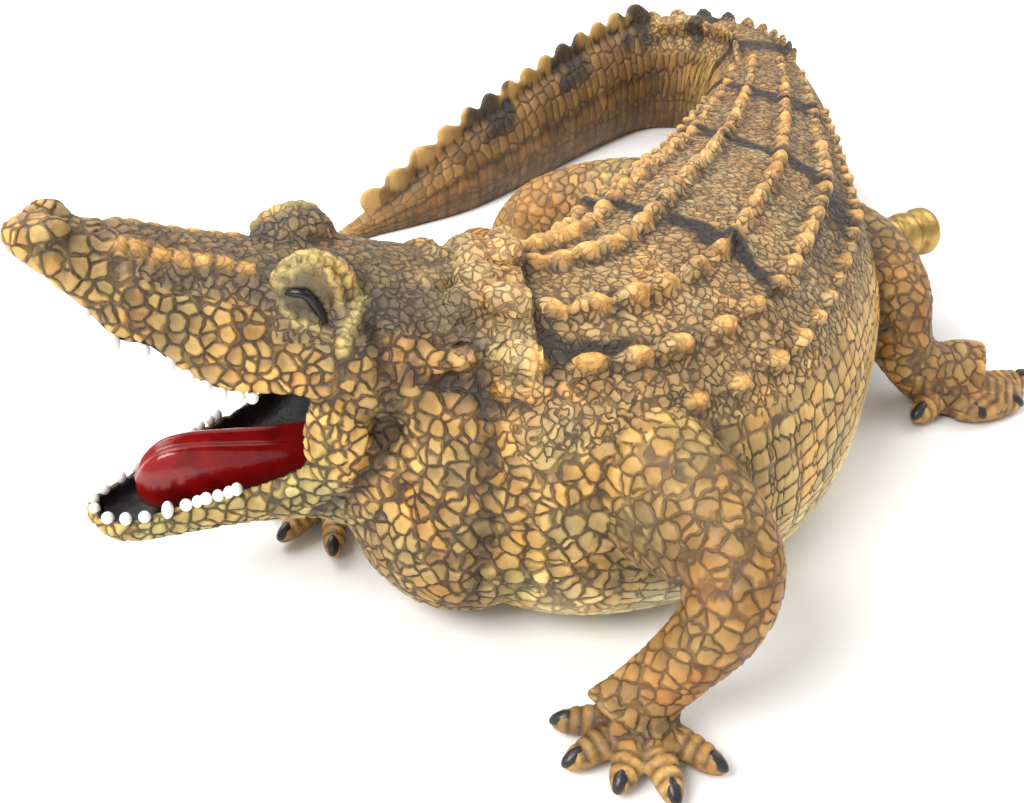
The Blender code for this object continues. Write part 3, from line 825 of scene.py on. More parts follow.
def wander(tree, vector, size, reach):
    # the pattern's coordinates, pushed about a little so that no scale is a plain polygon
    node = makeNode(tree, "ShaderNodeTexNoise")
    tree.links.new(vector, node.inputs["Vector"])
    node.inputs["Scale"].default_value = 1.0 / size
    node.inputs["Detail"].default_value = 1.0
    centred = vectorNode(tree, "SUBTRACT", node.outputs["Color"], (0.5, 0.5, 0.5))
    return vectorNode(tree, "ADD", vector, vectorNode(tree, "SCALE", centred, None, reach))


vectorFields = ("sheetSpot", "flowSpot", "tailWay")


def scalePattern(tree, named):
    # distance from the groove round each scale, each scale's own number, and its rise towards the tail
    spot, flow, way = named("sheetSpot"), named("flowSpot"), named("tailWay")
    kinds = (
        (wander(tree, flow, 1.6, 0.42), 1.0, "2D", 0.55),
        (wander(tree, spot, 4.0, 2.4), scaleSizes["medium"], "3D", 0.92),
        (wander(tree, spot, 4.2, 3.2), scaleSizes["large"], "3D", 0.92),
        (wander(tree, spot, 3.2, 3.4), scaleSizes["small"], "3D", 1.0),
    )
    found = []
    for k, (vector, size, dimensions, randomness) in enumerate(kinds):
        edge, cell = (makeNode(tree, "ShaderNodeTexVoronoi", voronoi_dimensions=dimensions, feature=what)
                      for what in ("DISTANCE_TO_EDGE", "F1"))
        for node in (edge, cell):
            tree.links.new(vector, node.inputs["Vector"])
            node.inputs["Scale"].default_value = 1.0 / size
            node.inputs["Randomness"].default_value = randomness
        number = apart(tree, cell.outputs["Color"])
        off = vectorNode(tree, "SUBTRACT", vector, cell.outputs["Position"])
        off = vectorNode(tree, "SCALE", off, None, 1.0 / size)
        rise = apart(tree, off)[0] if k == 0 else vectorNode(tree, "DOT_PRODUCT", off, way)
        # the far corners of a cell count as groove too, which rounds its scale
        corner = (0.5, 0.8, 0.12, 0.0) if k == 0 else (0.58, 0.84, 0.16, 0.0)
        corner = mapped(tree, cell.outputs["Distance"], *corner, smooth=False)
        rounded = mathNode(tree, "MINIMUM", edge.outputs["Distance"], corner)
        found.append((rounded, number[0], number[1], rise))
    weights = [mapped(tree, named(name), 0.42, 0.58) for name in ("largePart", "irregular", "backPart")]
    out = []
    for k in range(4):
        value = mixed(tree, weights[0], found[1][k], found[2][k])
        value = mixed(tree, weights[1], found[0][k], value)
        out.append(mixed(tree, weights[2], value, found[3][k]))
    return out


def patternOnMesh(piece):
    tree = bpy.data.node_groups.new("skinRelief", "GeometryNodeTree")
    for way in ("INPUT", "OUTPUT"):
        tree.interface.new_socket(name="Geometry", in_out=way, socket_type="NodeSocketGeometry")
    enter, leave = tree.nodes.new("NodeGroupInput"), tree.nodes.new("NodeGroupOutput")

    def named(name):
        kind = "FLOAT_VECTOR" if name in vectorFields else "FLOAT"
        node = makeNode(tree, "GeometryNodeInputNamedAttribute", data_type=kind)
        node.inputs[0].default_value = name
        return node.outputs[0]

    edge, cell, second, rise = scalePattern(tree, named)
    last = enter.outputs[0]
    for name, value in (("edgeGap", edge), ("cellRise", rise)):
        keep = makeNode(tree, "GeometryNodeStoreNamedAttribute", data_type="FLOAT", domain="POINT")
        keep.inputs["Name"].default_value = name
        tree.links.new(last, keep.inputs["Geometry"])
        tree.links.new(value, keep.inputs["Value"])
        last = keep.outputs[0]
    tree.links.new(last, leave.inputs[0])
    modifier = piece.modifiers.new("relief", "NODES")
    modifier.node_group = tree
    settle(piece)
    bpy.data.node_groups.remove(tree)


def writeRegions(piece, points, regions):
    fields = {"sheetSpot": points, "flowSpot": regions["flow"], "tailWay": regions["way"],
              "irregular": regions["irregular"], "largePart": regions["large"], "backPart": regions["back"]}
    for name, values in fields.items():
        writeValues(piece.data, name, values, "FLOAT_VECTOR" if name in vectorFields else "FLOAT")


def lumps(points, size, seed):
    # soft blotches between 0 and 1, the same on each run
    random = np.random.default_rng(seed)
    total = np.zeros(len(points))
    for k in range(7):
        way = random.normal(size=3)
        way /= np.linalg.norm(way)
        total += np.sin(points @ way * (2 * math.pi / (size * random.uniform(0.7, 1.5))) + random.uniform(0, 6.28))
    return np.clip(0.5 + total / 7 * 1.1, 0, 1)


def nearTo(points, spots, radius):
    spots = np.array(spots)
    gaps = np.concatenate(inParts(points, lambda part: np.sqrt(
        ((part[:, None, :] - spots[None, :, :]) ** 2).sum(axis=2).min(axis=1))))
    return step(radius, radius * 0.4, gaps)


raisedSpots = {"keel": [], "crest": [], "neck": [spot for spot, size in neckEggs]}


def collectRaised():
    for place, share, size in keelSpots():
        spot, rise, beside, out = backFrame(place, share)
        raisedSpots["keel"].append(spot + out * 2.8 + rise * 1.5)
    for kind, place, share in crestSpots():
        spot, rise, beside, out = backFrame(place, share)
        raisedSpots["crest"].append(spot + out * 6.0 + rise * 3.6)


collectRaised()


relief = {  # heights and depths in millimetres of the sheet
    "dome": 0.60, "smallDome": 0.40, "legDome": 0.44, "rise": 0.55, "fold": 2.2, "brow": 1.5, "slit": 0.8,
    "toeRings": 0.55, "valley": 2.0, "nape": 1.0, "hump": 3.0, "nostril": 2.6,
}


def eyeArea(regions):
    f, l, z = regions["f"], np.abs(regions["l"]), regions["z"]
    e = face["eye"]
    return blob((f, e[0], 6.4), (l, e[1], 6.5), (z, e[2], 5.2), sharp=2)


def finOf(regions):
    return step(1.0, 1.12, regions["high"]) * step(10.0, 12.0, regions["place"]) * (1 - regions["leg"])


def carveRelief(piece):
    points = meshArray(piece.data, "co")
    normals = meshArray(piece.data, "normal")
    regions = regionsOf(points)
    writeRegions(piece, points, regions)
    patternOnMesh(piece)
    gap, rise = readValues(piece.data, "edgeGap"), readValues(piece.data, "cellRise")
    f, l, z, near = regions["f"], regions["l"], regions["z"], regions["f"] > -18
    dome = step(0.0, 0.18, gap) * (0.78 + relief["rise"] * np.clip(rise, -0.6, 0.6) * (1 - 0.6 * regions["back"]))
    high = relief["dome"] * (1 - regions["back"]) + relief["smallDome"] * regions["back"]
    high = high * (1 - regions["leg"]) + relief["legDome"] * regions["leg"]
    high = high * (1 - 0.85 * regions["toes"] * step(1.25, 1.0, regions["toeGap"]) * regions["toeStart"])
    lid = eyeArea(regions)
    low = step(26, 6, points[:, 2]) * (1 - regions["leg"]) * (1 - regions["head"])
    fin = finOf(regions)
    keel = nearTo(points, raisedSpots["keel"], 5.6) * (1 - regions["head"])
    high = high * (1 - regions["mouth"]) * (1 - lid) * (1 - 0.6 * low) * (1 - 0.85 * fin) * (1 - 0.8 * keel)
    move = (dome - 0.62) * high
    # ridges of the brow, the rim under the eye and the row along the snout
    for name, (width, lift, pitch) in faceRidges.items():
        away, along = faceGap(points, name, near)
        beads = 0.45 + 0.55 * waves(along, pitch) ** 0.6
        share = hump(away, 0, width)
        move = move * (1 - share) + relief["brow"] * lift * beads * share
    for name, width in (("slit", 1.0), ("valley", 3.2), ("nape", 3.0)):
        move -= relief[name] * hump(faceGap(points, name, near)[0], 0, width)
    # the raised nape, which ends in a ledge over the shoulders
    nape = step(1.60, 1.50, regions["place"]) * step(-0.6, 0.9, regions["place"])
    nape = nape * step(0.70, 0.52, np.abs(regions["share"] - 0.03))
    move += relief["hump"] * nape * (1 - step(-4, 6, f)) * (regions["high"] > 0.2)
    # rings across the toes
    rings = (regions["toeWave"] - 0.6) * relief["toeRings"] * regions["toes"]
    move += rings * step(1.35, 1.05, regions["toeGap"]) * step(3, 6, points[:, 2]) * regions["toeStart"]
    # two folds across the neck
    lean = f + (z - 60) * 0.12
    fold = 0.7 * hump(lean, -8.0, 2.6) * step(8, 26, z) * step(84, 72, z) * step(8, 18, np.abs(l))
    fold += 0.5 * hump(lean - 0.1 * z, -20.0, 2.8) * step(10, 24, z) * step(60, 48, z)
    move -= relief["fold"] * fold
    # pits of the nostrils
    move -= relief["nostril"] * blob((f, 77.2, 2.4), (np.abs(l), 3.9, 1.4), (z, 116.0, 3.2))
    move[points[:, 2] < 0.6] = 0
    points = points + normals * move[:, None]
    points[:, 2] = np.maximum(points[:, 2], 0.0)
    piece.data.vertices.foreach_set("co", points.astype(np.float32).ravel())
    piece.data.update()
    dropValues(piece.data, ("edgeGap", "cellRise"))
    for name, turns in skinSettings["hollows"].items():
        writeValues(piece.data, name, hollows(piece.data, points, turns))
    writeValues(piece.data, "skinNormal", meshArray(piece.data, "normal"), "FLOAT_VECTOR")


def hollows(mesh, points, turns):
    # how far each point lies below, or stands above, its surroundings
    ends = readAll(mesh.edges, "vertices", 2, np.int32)
    count = len(points)
    number = np.bincount(ends.ravel(), minlength=count) + 1e-9
    soft = points.copy()
    for turn in range(turns):
        total = np.empty_like(soft)
        for k in range(3):
            total[:, k] = (np.bincount(ends[:, 0], soft[ends[:, 1], k], count)
                           + np.bincount(ends[:, 1], soft[ends[:, 0], k], count))
        soft = 0.3 * soft + 0.7 * total / number[:, None]
    return ((soft - points) * meshArray(mesh, "normal")).sum(axis=1)


snapFace(skin)
carveRelief(skin)
print("skin carved", len(skin.data.vertices))


# the skin in three pieces, cut across the neck behind the jaws and across the root of the tail

def cutAcross(bm, middle, normal, isNear):
    near = [vert for vert in bm.verts if isNear(vert.co)]
    inside = set(near)
    edges = [edge for edge in bm.edges if edge.verts[0] in inside and edge.verts[1] in inside]
    faces = [poly for poly in bm.faces if all(vert in inside for vert in poly.verts)]
    cut = bmesh.ops.bisect_plane(bm, geom=near + edges + faces, dist=0.0, plane_co=middle, plane_no=normal)
    line = [part for part in cut["geom_cut"] if isinstance(part, bmesh.types.BMEdge)]
    bmesh.ops.split_edges(bm, edges=line)


def islands(bm):
    left = set(bm.verts)
    found = []
    while left:
        first = left.pop()
        seen, todo = {first}, [first]
        while todo:
            for edge in todo.pop().link_edges:
                for vert in edge.verts:
                    if vert in left:
                        left.discard(vert)
                        seen.add(vert)
                        todo.append(vert)
        found.append(seen)
    return found


def closeEnds(bm):
    # a lid over each cut, inside the statue, so that every piece is a closed body
    rim = [edge for edge in bm.edges if len(edge.link_faces) == 1]
    made = bmesh.ops.holes_fill(bm, edges=rim, sides=0)["faces"]
    bmesh.ops.recalc_face_normals(bm, faces=bm.faces)
    return len(rim), len(made)


def cutPlane(name):
    # a spot on the cut, the way across it, and how far from the spot the cut reaches
    if name == "head":
        across = Vector(onHead(1, 0, 0.12)) - Vector(onHead(0, 0, 0))
        return np.array(onHead(2.0, 0, 52)), np.array(across.normalized()), 60.0
    row, run = spineAt(9.9)
    return np.array([row[0], row[1], 26.0]), np.array([run[0], run[1], 0.0]), 42.0


def cutGap(points, name):
    middle, normal, reach = cutPlane(name)
    off = points - middle
    return np.where(np.linalg.norm(off, axis=1) < reach, np.abs(off @ normal), 99.0)


def splitSkin(piece):
    bm = bmesh.new()
    bm.from_mesh(piece.data)
    bmesh.ops.triangulate(bm, faces=bm.faces)
    neck, neckNormal = (Vector(value) for value in cutPlane("head")[:2])
    across = Vector(onHead(0, 1, 0)) - Vector(onHead(0, 0, 0))
    cutAcross(bm, neck, neckNormal, lambda spot: (
        abs((spot - neck) @ neckNormal) < 9 and -33.8 < (spot - neck) @ across < 60))
    root, rootNormal, reach = cutPlane("tail")
    root, rootNormal = Vector(root), Vector(rootNormal)
    cutAcross(bm, root, rootNormal, lambda spot: (spot - root).length < reach)
    pieces = {}
    parts = islands(bm)
    print("skin islands", [len(part) for part in parts])
    tops = {"head": Vector(onHead(84, 0, 111)), "tail": Vector((-100, -45, 3)), "body": Vector((58, 17, 79))}
    for name, spot in tops.items():
        closest = min(parts, key=lambda part: min((vert.co - spot).length for vert in part))
        one = bm.copy()
        bm.verts.index_update()
        one.verts.ensure_lookup_table()
        keep = {vert.index for vert in closest}
        rest = [one.verts[k] for k in range(len(one.verts)) if k not in keep]
        bmesh.ops.delete(one, geom=rest, context="VERTS")
        pieces[name] = asPiece(one, name + "Skin")
    bm.free()
    bpy.data.objects.remove(piece)
    return pieces


def nearestCut(points):
    return np.minimum(cutGap(points, "head"), cutGap(points, "tail"))


skins = splitSkin(skin)
for name, piece in skins.items():
    count = len(piece.data.polygons)
    most = skinSettings["triangles"][name]
    if count > most:
        gap = nearestCut(meshArray(piece.data, "co"))
        group = piece.vertex_groups.new(name="free")
        group.add(np.where(gap > skinSettings["keptGap"])[0].tolist(), 1.0, "REPLACE")
        thin = piece.modifiers.new("thin", "DECIMATE")
        thin.ratio = most / count
        thin.vertex_group = "free"
        settle(piece)
    bm = bmesh.new()
    bm.from_mesh(piece.data)
    bmesh.ops.triangulate(bm, faces=bm.faces)
    ends = closeEnds(bm)
    bm.to_mesh(piece.data)
    bm.free()
    print("skin piece", name, count, len(piece.data.polygons), "rim and lids", ends)


# the paint, from the region that each point lies in

def linear(red, green, blue):
    values = np.array([red, green, blue], float) / 255
    return np.where(values <= 0.04045, values / 12.92, ((values + 0.055) / 1.055) ** 2.4)


paints = {
    "back": (172, 141, 92),
    "flank": (222, 184, 106),
    "belly": (246, 232, 178),
    "leg": (160, 118, 60),
    "tail": (140, 106, 58),
    "tailLow": (98, 70, 38),
    "headSide": (160, 131, 74),
    "headTop": (126, 103, 66),
    "snoutRow": (186, 138, 68),
    "cheek": (232, 186, 104),
    "jaw": (172, 153, 88),
    "neck": (176, 144, 84),
    "throat": (190, 168, 98),
    "keelTip": (208, 154, 80),
    "crestTip": (172, 138, 80),
    "band": (36, 34, 33),
    "lid": (92, 76, 52),
    "browRidge": (206, 180, 100),
    "mouth": (14, 13, 13),
    "crease": (48, 34, 20),
    # dark grey: painted shade in the valley, the nape fold, beside the ridges and where the legs join, and blotches
    # on the head
    "darkGrey": (62, 56, 50),
}

bands = (  # share and place along each dark band across the back, width, strength
    (((-0.75, 5.0), (-0.40, 4.52), (-0.19, 4.26), (0.0, 4.16), (0.13, 4.10), (0.29, 3.98), (0.41, 3.9),
      (0.55, 3.84)), 0.145, 0.97),
    (((-0.9, 8.0), (-0.43, 7.14), (-0.06, 6.66), (0.16, 6.48), (0.37, 6.36), (0.55, 6.05),
      (0.66, 5.75)), 0.145, 0.95),
    (((-0.9, 9.3), (-0.70, 9.05), (-0.22, 8.30), (0.12, 8.16), (0.39, 8.12), (0.6, 8.1)), 0.14, 0.9),
    (((-0.9, 10.3), (0.0, 9.9), (0.9, 9.7)), 0.15, 0.85),
)
# place and half width of the dark patches of the tail
tailPatches = ((11.7, 0.35), (13.0, 0.3), (14.25, 0.3), (15.55, 0.32))


def paintOf(mesh, points, regions):
    f, l, z = regions["f"], regions["l"], regions["z"]
    place, share, high = regions["place"], regions["share"], regions["high"]
    headPart, leg, back = regions["head"], regions["leg"], regions["back"]
    colour = np.tile(linear(*paints["flank"]), (len(points), 1))

    def lay(mask, name, strength=1.0):
        nonlocal colour
        share = np.clip(mask * strength, 0, 1)[:, None]
        colour = colour * (1 - share) + linear(*paints[name]) * share

    def shade(amount, mask):
        nonlocal colour
        colour *= (1 - amount * mask)[:, None]

    lay(step(34, 14, points[:, 2]) * step(13, 9, place), "belly", 0.9)
    tail = step(9.5, 12.5, place)
    lay(tail, "tail")
    lay(tail * step(0.35, 0.0, high), "tailLow", 0.7)
    lay(back, "back")
    lay(step(2.4, 0.8, place) * (points[:, 0] > 20) * (1 - back), "neck")
    lay(step(-22, -12, f) * step(50, 28, z), "throat")
    down = regions["legDown"]
    foot = np.maximum(step(2.0, 1.5, regions["legGap"]) * step(0.66, 0.8, down), regions["toes"])
    lay(leg * step(0.5, 0.3, down), "headSide", 0.9)
    lay(np.maximum(leg * step(0.12, 0.42, down), foot), "leg", 0.94)
    lay(headPart, "headSide")
    lay(headPart * blob((f, 15, 13), (z, 54, 16), sharp=2), "cheek", 0.8)
    lay(regions["crown"], "headTop", 0.9)
    jawTop = np.interp(f, [r[0] for r in head["jaw"]], [r[1] for r in head["jaw"]])
    lay(headPart * step(4, 0, z - jawTop) * step(18, 28, f), "jaw")
    skullLow = np.interp(f, [r[0] for r in head["skull"]], [r[2] for r in head["skull"]])
    lips = headPart * step(12, 3, z - skullLow) * step(16, 24, f) * (z > jawTop + 3)
    lay(lips, "cheek", 0.4)
    near = f > -18
    row, along = faceGap(points, "snoutRow", near)
    beads = step(0.12, 0.4, waves(along, faceRidges["snoutRow"][2]))
    lay(np.exp(-(row / 1.9) ** 4) * beads, "snoutRow", 0.85)
    lay(hump(row, 0, 2.4) * (1 - beads), "crease", 0.8)
    lid = eyeArea(regions)
    lay(lid * 1.2, "lid", 0.95)
    for name, width in (("brow", 1.7), ("innerBrow", 1.3)):
        row, along = faceGap(points, name, near)
        lay(hump(row, 0, width), "browRidge", 0.9)
        lay(hump(row, 0, width) * step(0.35, 0.1, waves(along, faceRidges[name][2])), "crease", 0.8)
    # painted shade in a band beside the snout row and beside the brow
    for name, far, width, strength in (("snoutRow", 4.4, 1.9, 0.6), ("brow", 3.9, 1.6, 0.75)):
        row, along = faceGap(points, name, near)
        lay(hump(row, far, width) * (1 - lid) * (0.45 + 0.55 * lumps(points, 9, 71)), "darkGrey", strength)
    lay(hump(faceGap(points, "underLid", near)[0], 0, 0.8), "browRidge", 0.5)
    # painted shade along the valley behind the cheek and along the fold of the nape
    for name, width, least, size, seed in (("valley", 3.0, 0.5, 14, 51), ("nape", 3.6, 0.4, 12, 52)):
        row, along = faceGap(points, name, near)
        lay(hump(row, 0, width) * (least + (1 - least) * lumps(points, size, seed)), "darkGrey", 0.85)
    # toes: darker between the rings
    toe = regions["toes"] * step(1.4, 1.1, regions["toeGap"]) * regions["toeStart"]
    lay(toe * (1 - regions["toeWave"]), "crease", 0.8)
    # painted shade where the legs join the body
    join = hump(regions["legGap"], 1.34, 0.17) * step(0.02, 0.14, down) * step(0.5, 0.35, down)
    lay(join * (1 - headPart) * (0.35 + 0.65 * lumps(points, 15, 61)), "darkGrey", 0.6)
    # the rump is painted darker, and the tops of the front legs get painted shade
    shade(0.26, step(5.0, 8.5, place) * (1 - tail) * (1 - 0.6 * leg))
    shade(0.30, leg * step(0.45, 0.25, down) * step(0, 30, -points[:, 1] + 20))
    # mottling
    colour *= (0.86 + 0.28 * lumps(points, 34, 3))[:, None]
    warm = ((lumps(points, 20, 8) - 0.5) * (1 - 0.6 * tail))[:, None]
    colour *= 1 + warm * np.array([[0.20, -0.02, -0.30]])
    # dark grey blotches on the top of the head, behind the eyes
    headBlotches = step(0.55, 0.8, lumps(points, 26, 15)) * headPart * step(30, 10, f) * step(60, 74, z)
    lay(headBlotches, "darkGrey", 0.5)
    tips = nearTo(points, raisedSpots["keel"], 4.8) * (1 - headPart)
    crestTips = nearTo(points, raisedSpots["crest"], 7.0)
    necks = nearTo(points, raisedSpots["neck"], 4.6)
    for spots, width, strength in bands:
        spots = np.array(spots)
        line = np.interp(share, spots[:, 0], spots[:, 1])
        wave = (lumps(points, 9, 21) - 0.5) * 0.16
        mask = step(width * 1.35, width * 0.85, np.abs(place - line + wave))
        first, last = spots[0, 0], spots[-1, 0]
        ends = step(first - 0.12, first + 0.02, share) * step(last + 0.12, last - 0.02, share)
        lay(mask * ends * (high > -0.1) * (1 - headPart), "band", strength)
    wave = (lumps(points, 8, 27) - 0.5) * 0.04
    patch = blob((place, 1.98, 0.47), (share + wave, 0.515, 0.062), sharp=4)
    patch = np.maximum(patch, blob((place, 1.70, 0.14), (share, 0.50, 0.11), sharp=3))
    lay(patch * (1 - headPart) * step(0.2, 0.4, high), "band", 0.96)
    lay(blob((place, 5.9, 0.5), (share, 0.68, 0.14), sharp=2), "band", 0.85)
    lay(tips, "keelTip", 0.78)
    lay(necks, "keelTip", 0.6)
    lay(crestTips * tail, "crestTip", 0.65)
    for at, width in tailPatches:
        wave = (lumps(points, 12, 33) - 0.5) * 0.3
        lay(step(width, width * 0.55, np.abs(place - at + wave)) * step(0.55, 0.8, high), "band", 0.88)
    wave = (lumps(points, 10, 44) - 0.5) * 0.08
    lay(tail * (1 - leg) * hump(high + wave, 0.36, 0.075) * step(12.2, 13.2, place), "crease", 0.72)
    columns = tail * (1 - leg) * step(0.32, 0.2, high) * step(0.5, 0.95, np.sin(regions["arc"] * (2 * math.pi / 7.4)))
    lay(columns, "crease", 0.4)
    # painted shade in the hollows and painted highlight on what stands out
    fine = readValues(mesh, "hollowFine")
    lay(step(0.12, 0.9, readValues(mesh, "hollowWide")) * (1 - 0.6 * leg), "crease", 0.66)
    lay(step(0.04, 0.26, fine), "crease", 0.42)
    raisedHighlight = step(0.04, 0.3, -fine) * (1 - regions["mouth"])
    colour = colour * (1 + 0.42 * raisedHighlight[:, None])
    # painted shade on the undersides that face down
    shade(0.12, step(0.25, -0.6, readValues(mesh, "skinNormal")[:, 2]) * (1 - regions["mouth"]))
    lay(regions["mouth"], "mouth")
    return np.concatenate([np.clip(colour, 0, 1), np.ones((len(points), 1))], axis=1)


def finishValues(piece):
    points = meshArray(piece.data, "co")
    regions = regionsOf(points)
    writeRegions(piece, points, regions)
    writeValues(piece.data, "paint", paintOf(piece.data, points, regions), "FLOAT_COLOR")
    lid = eyeArea(regions)
    near = regions["f"] > -18
    ridges = np.zeros(len(points))
    for name, width in (("brow", 1.5), ("innerBrow", 1.2), ("snoutRow", 2.0)):
        ridges = np.maximum(ridges, hump(faceGap(points, name, near)[0], 0, width))
    toe = regions["toes"] * step(1.3, 1.05, regions["toeGap"]) * regions["toeStart"]
    keel = nearTo(points, raisedSpots["keel"], 5.2) * (1 - regions["head"])
    quiet = np.clip(regions["mouth"] + 1.2 * lid + 0.85 * ridges + 0.9 * toe + finOf(regions) + 0.7 * keel, 0, 1)
    low = step(30, 8, points[:, 2]) * (1 - regions["leg"]) * (1 - regions["head"])
    tail = step(9.5, 12.0, regions["place"])
    grooves = (1 - quiet) * (1 - 0.3 * regions["leg"]) * (1 - 0.5 * low) * (1 - 0.35 * tail)
    writeValues(piece.data, "grooves", grooves * (1 - 0.25 * regions["back"]))
    writeValues(piece.data, "wet", regions["mouth"])
    # along the cuts the pieces share the normals of the whole skin, so that no seam shows
    normals = readValues(piece.data, "skinNormal")
    normals /= np.linalg.norm(normals, axis=1)[:, None] + 1e-9
    normals[nearestCut(points) > skinSettings["normalGap"]] = 0
    piece.data.normals_split_custom_set_from_vertices(normals)
    dropValues(piece.data, ("hollowWide", "hollowFine", "skinNormal"))


for piece in skins.values():
    finishValues(piece)
print("skin painted")


# materials

def newMaterial(name):
    material = bpy.data.materials.new(name)
    material.use_nodes = True
    tree = material.node_tree
    tree.nodes.clear()
    shader = tree.nodes.new("ShaderNodeBsdfPrincipled")
    leave = tree.nodes.new("ShaderNodeOutputMaterial")
    tree.links.new(shader.outputs[0], leave.inputs[0])
    return material, tree, shader


def objectSpot(tree):
    return tree.nodes.new("ShaderNodeTexCoord").outputs["Object"]


def noise(tree, vector, size, detail=3.0, roughness=0.5):
    node = makeNode(tree, "ShaderNodeTexNoise")
    tree.links.new(vector, node.inputs["Vector"])
    node.inputs["Scale"].default_value = size
    node.inputs["Detail"].default_value = detail
    node.inputs["Roughness"].default_value = roughness
    return node.outputs[0]


def blend(tree, share, a, b, how="MIX"):
    node = makeNode(tree, "ShaderNodeMix", data_type="RGBA", blend_type=how)
    for k, value in ((0, share), (6, a), (7, b)):
        if isinstance(value, (int, float)):
            node.inputs[k].default_value = value
        elif isinstance(value, (tuple, list, np.ndarray)):
            node.inputs[k].default_value = tuple(value) + (1.0,) if len(value) == 3 else tuple(value)
        else:
            tree.links.new(value, node.inputs[k])
    return node.outputs[2]


def bumped(tree, shader, height, distance, strength=1.0, before=None):
    node = makeNode(tree, "ShaderNodeBump")
    node.inputs["Strength"].default_value = strength
    node.inputs["Distance"].default_value = distance
    tree.links.new(height, node.inputs["Height"])
    if before is not None:
        tree.links.new(before, node.inputs["Normal"])
    tree.links.new(node.outputs[0], shader.inputs["Normal"])
    return node.outputs[0]


tones = {
    "warm": (255, 226, 182),
    "broad": (176, 148, 110),
    # painted shade where a scale tucks under the next one and at its rim
    "tuckedShade": (150, 116, 78),
    "rim": (176, 142, 104),
    # painted highlight on the middle of each scale
    "scaleHighlight": (246, 220, 160),
    "groove": (44, 28, 15),
}


def skinPaint():
    material, tree, shader = newMaterial("paintedSkin")

    def named(name):
        node = makeNode(tree, "ShaderNodeAttribute", attribute_name=name)
        return node.outputs["Color" if name == "paint" else "Vector" if name in vectorFields else "Fac"]

    def toned(share, name, how="MULTIPLY"):
        return blend(tree, share, colour, linear(*tones[name]), how)

    paint, grooves, wet = named("paint"), named("grooves"), named("wet")
    edge, cell, second, rise = scalePattern(tree, named)
    spot = objectSpot(tree)
    fine = noise(tree, spot, 1500, 4.0, 0.6)
    coarse = noise(tree, spot, 240, 3.0)
    broad = noise(tree, spot, 60, 2.0)
    groove = times(tree, mapped(tree, edge, 0.055, 0.125, 1.0, 0.0), grooves)
    rim = times(tree, mapped(tree, edge, 0.06, 0.24, 1.0, 0.0), grooves)
    broken = times(tree, mapped(tree, coarse, 0.30, 0.52, 0.6, 1.0), mapped(tree, rise, -0.02, 0.30, 1.0, 0.5))
    # each scale is a little lighter or darker, and some are warmer
    colour = vectorNode(tree, "SCALE", paint, None, mapped(tree, cell, 0.0, 1.0, 0.72, 1.30, False))
    colour = toned(times(tree, mapped(tree, second, 0.5, 0.95), grooves, 0.55), "warm")
    colour = toned(times(tree, mapped(tree, broad, 0.5, 0.68), 0.3), "broad")
    # painted shade where a scale tucks under the next one and at its rim, painted highlight on its middle
    colour = toned(times(tree, mapped(tree, rise, -0.05, -0.5), grooves, 0.40), "tuckedShade")
    colour = toned(times(tree, rim, 0.40), "rim")
    shine = times(tree, mapped(tree, fine, 0.50, 0.70), mapped(tree, edge, 0.14, 0.36), grooves)
    colour = toned(times(tree, shine, mapped(tree, rise, -0.2, 0.4, 0.35, 1.0), 0.46), "scaleHighlight", "MIX")
    dark = blend(tree, 0.90, paint, linear(*tones["groove"]))
    colour = blend(tree, times(tree, groove, broken, 0.97), colour, dark)
    tree.links.new(colour, shader.inputs["Base Color"])
    rough = mapped(tree, coarse, 0.3, 0.7, 0.40, 0.60, False)
    tree.links.new(mathNode(tree, "SUBTRACT", rough, times(tree, wet, 0.05)), shader.inputs["Roughness"])
    raised = times(tree, mapped(tree, edge, 0.02, 0.13), grooves)
    raised = mathNode(tree, "ADD", raised, times(tree, rise, grooves, 0.5))
    first = bumped(tree, shader, raised, 0.0004, 0.85)
    bumped(tree, shader, mathNode(tree, "ADD", fine, times(tree, coarse, 1.6)), 0.00034, 0.6, first)
    return material


def enamel(name, colour, rough, patch=0.15):
    material, tree, shader = newMaterial(name)
    spot = objectSpot(tree)
    coarse = noise(tree, spot, 180, 3.0)
    fine = noise(tree, spot, 900, 4.0)
    patches = times(tree, mapped(tree, coarse, 0.4, 0.75), patch * 3)
    colours = blend(tree, patches, linear(*colour), linear(*(np.array(colour) * 0.55)))
    tree.links.new(colours, shader.inputs["Base Color"])
    tree.links.new(mapped(tree, fine, 0.3, 0.7, rough * 0.8, rough * 1.3, False), shader.inputs["Roughness"])
    bumped(tree, shader, mathNode(tree, "ADD", fine, times(tree, coarse, 2.0)), 0.00015, 0.5)
    return material


materials = {
    "skin": skinPaint(),
    "tooth": enamel("toothWhite", (240, 240, 236), 0.22, 0.04),
    "tongue": enamel("tongueRed", (136, 14, 14), 0.16, 0.2),
    "claw": enamel("clawBlack", (44, 40, 38), 0.3, 0.2),
    "eye": enamel("eyeBlack", (5, 5, 5), 0.26, 0.05),
    "brass": enamel("hoseBrass", (196, 160, 92), 0.34, 0.2),
}
materials["brass"].node_tree.nodes["Principled BSDF"].inputs["Metallic"].default_value = 0.85


def dress(piece, material, replaces=()):
    piece.data.materials.clear()
    piece.data.materials.append(materials[material])
    for polygon in piece.data.polygons:
        polygon.use_smooth = len(polygon.vertices) < 30  # the lids over the cuts stay flat
    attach(piece, "root")
    if replaces:
        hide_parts(*replaces)


for piece in skins.values():
    placeOnFrame(piece)
    dress(piece, "skin", ("alligator_casting",))


# teeth, tongue, claws and eyes

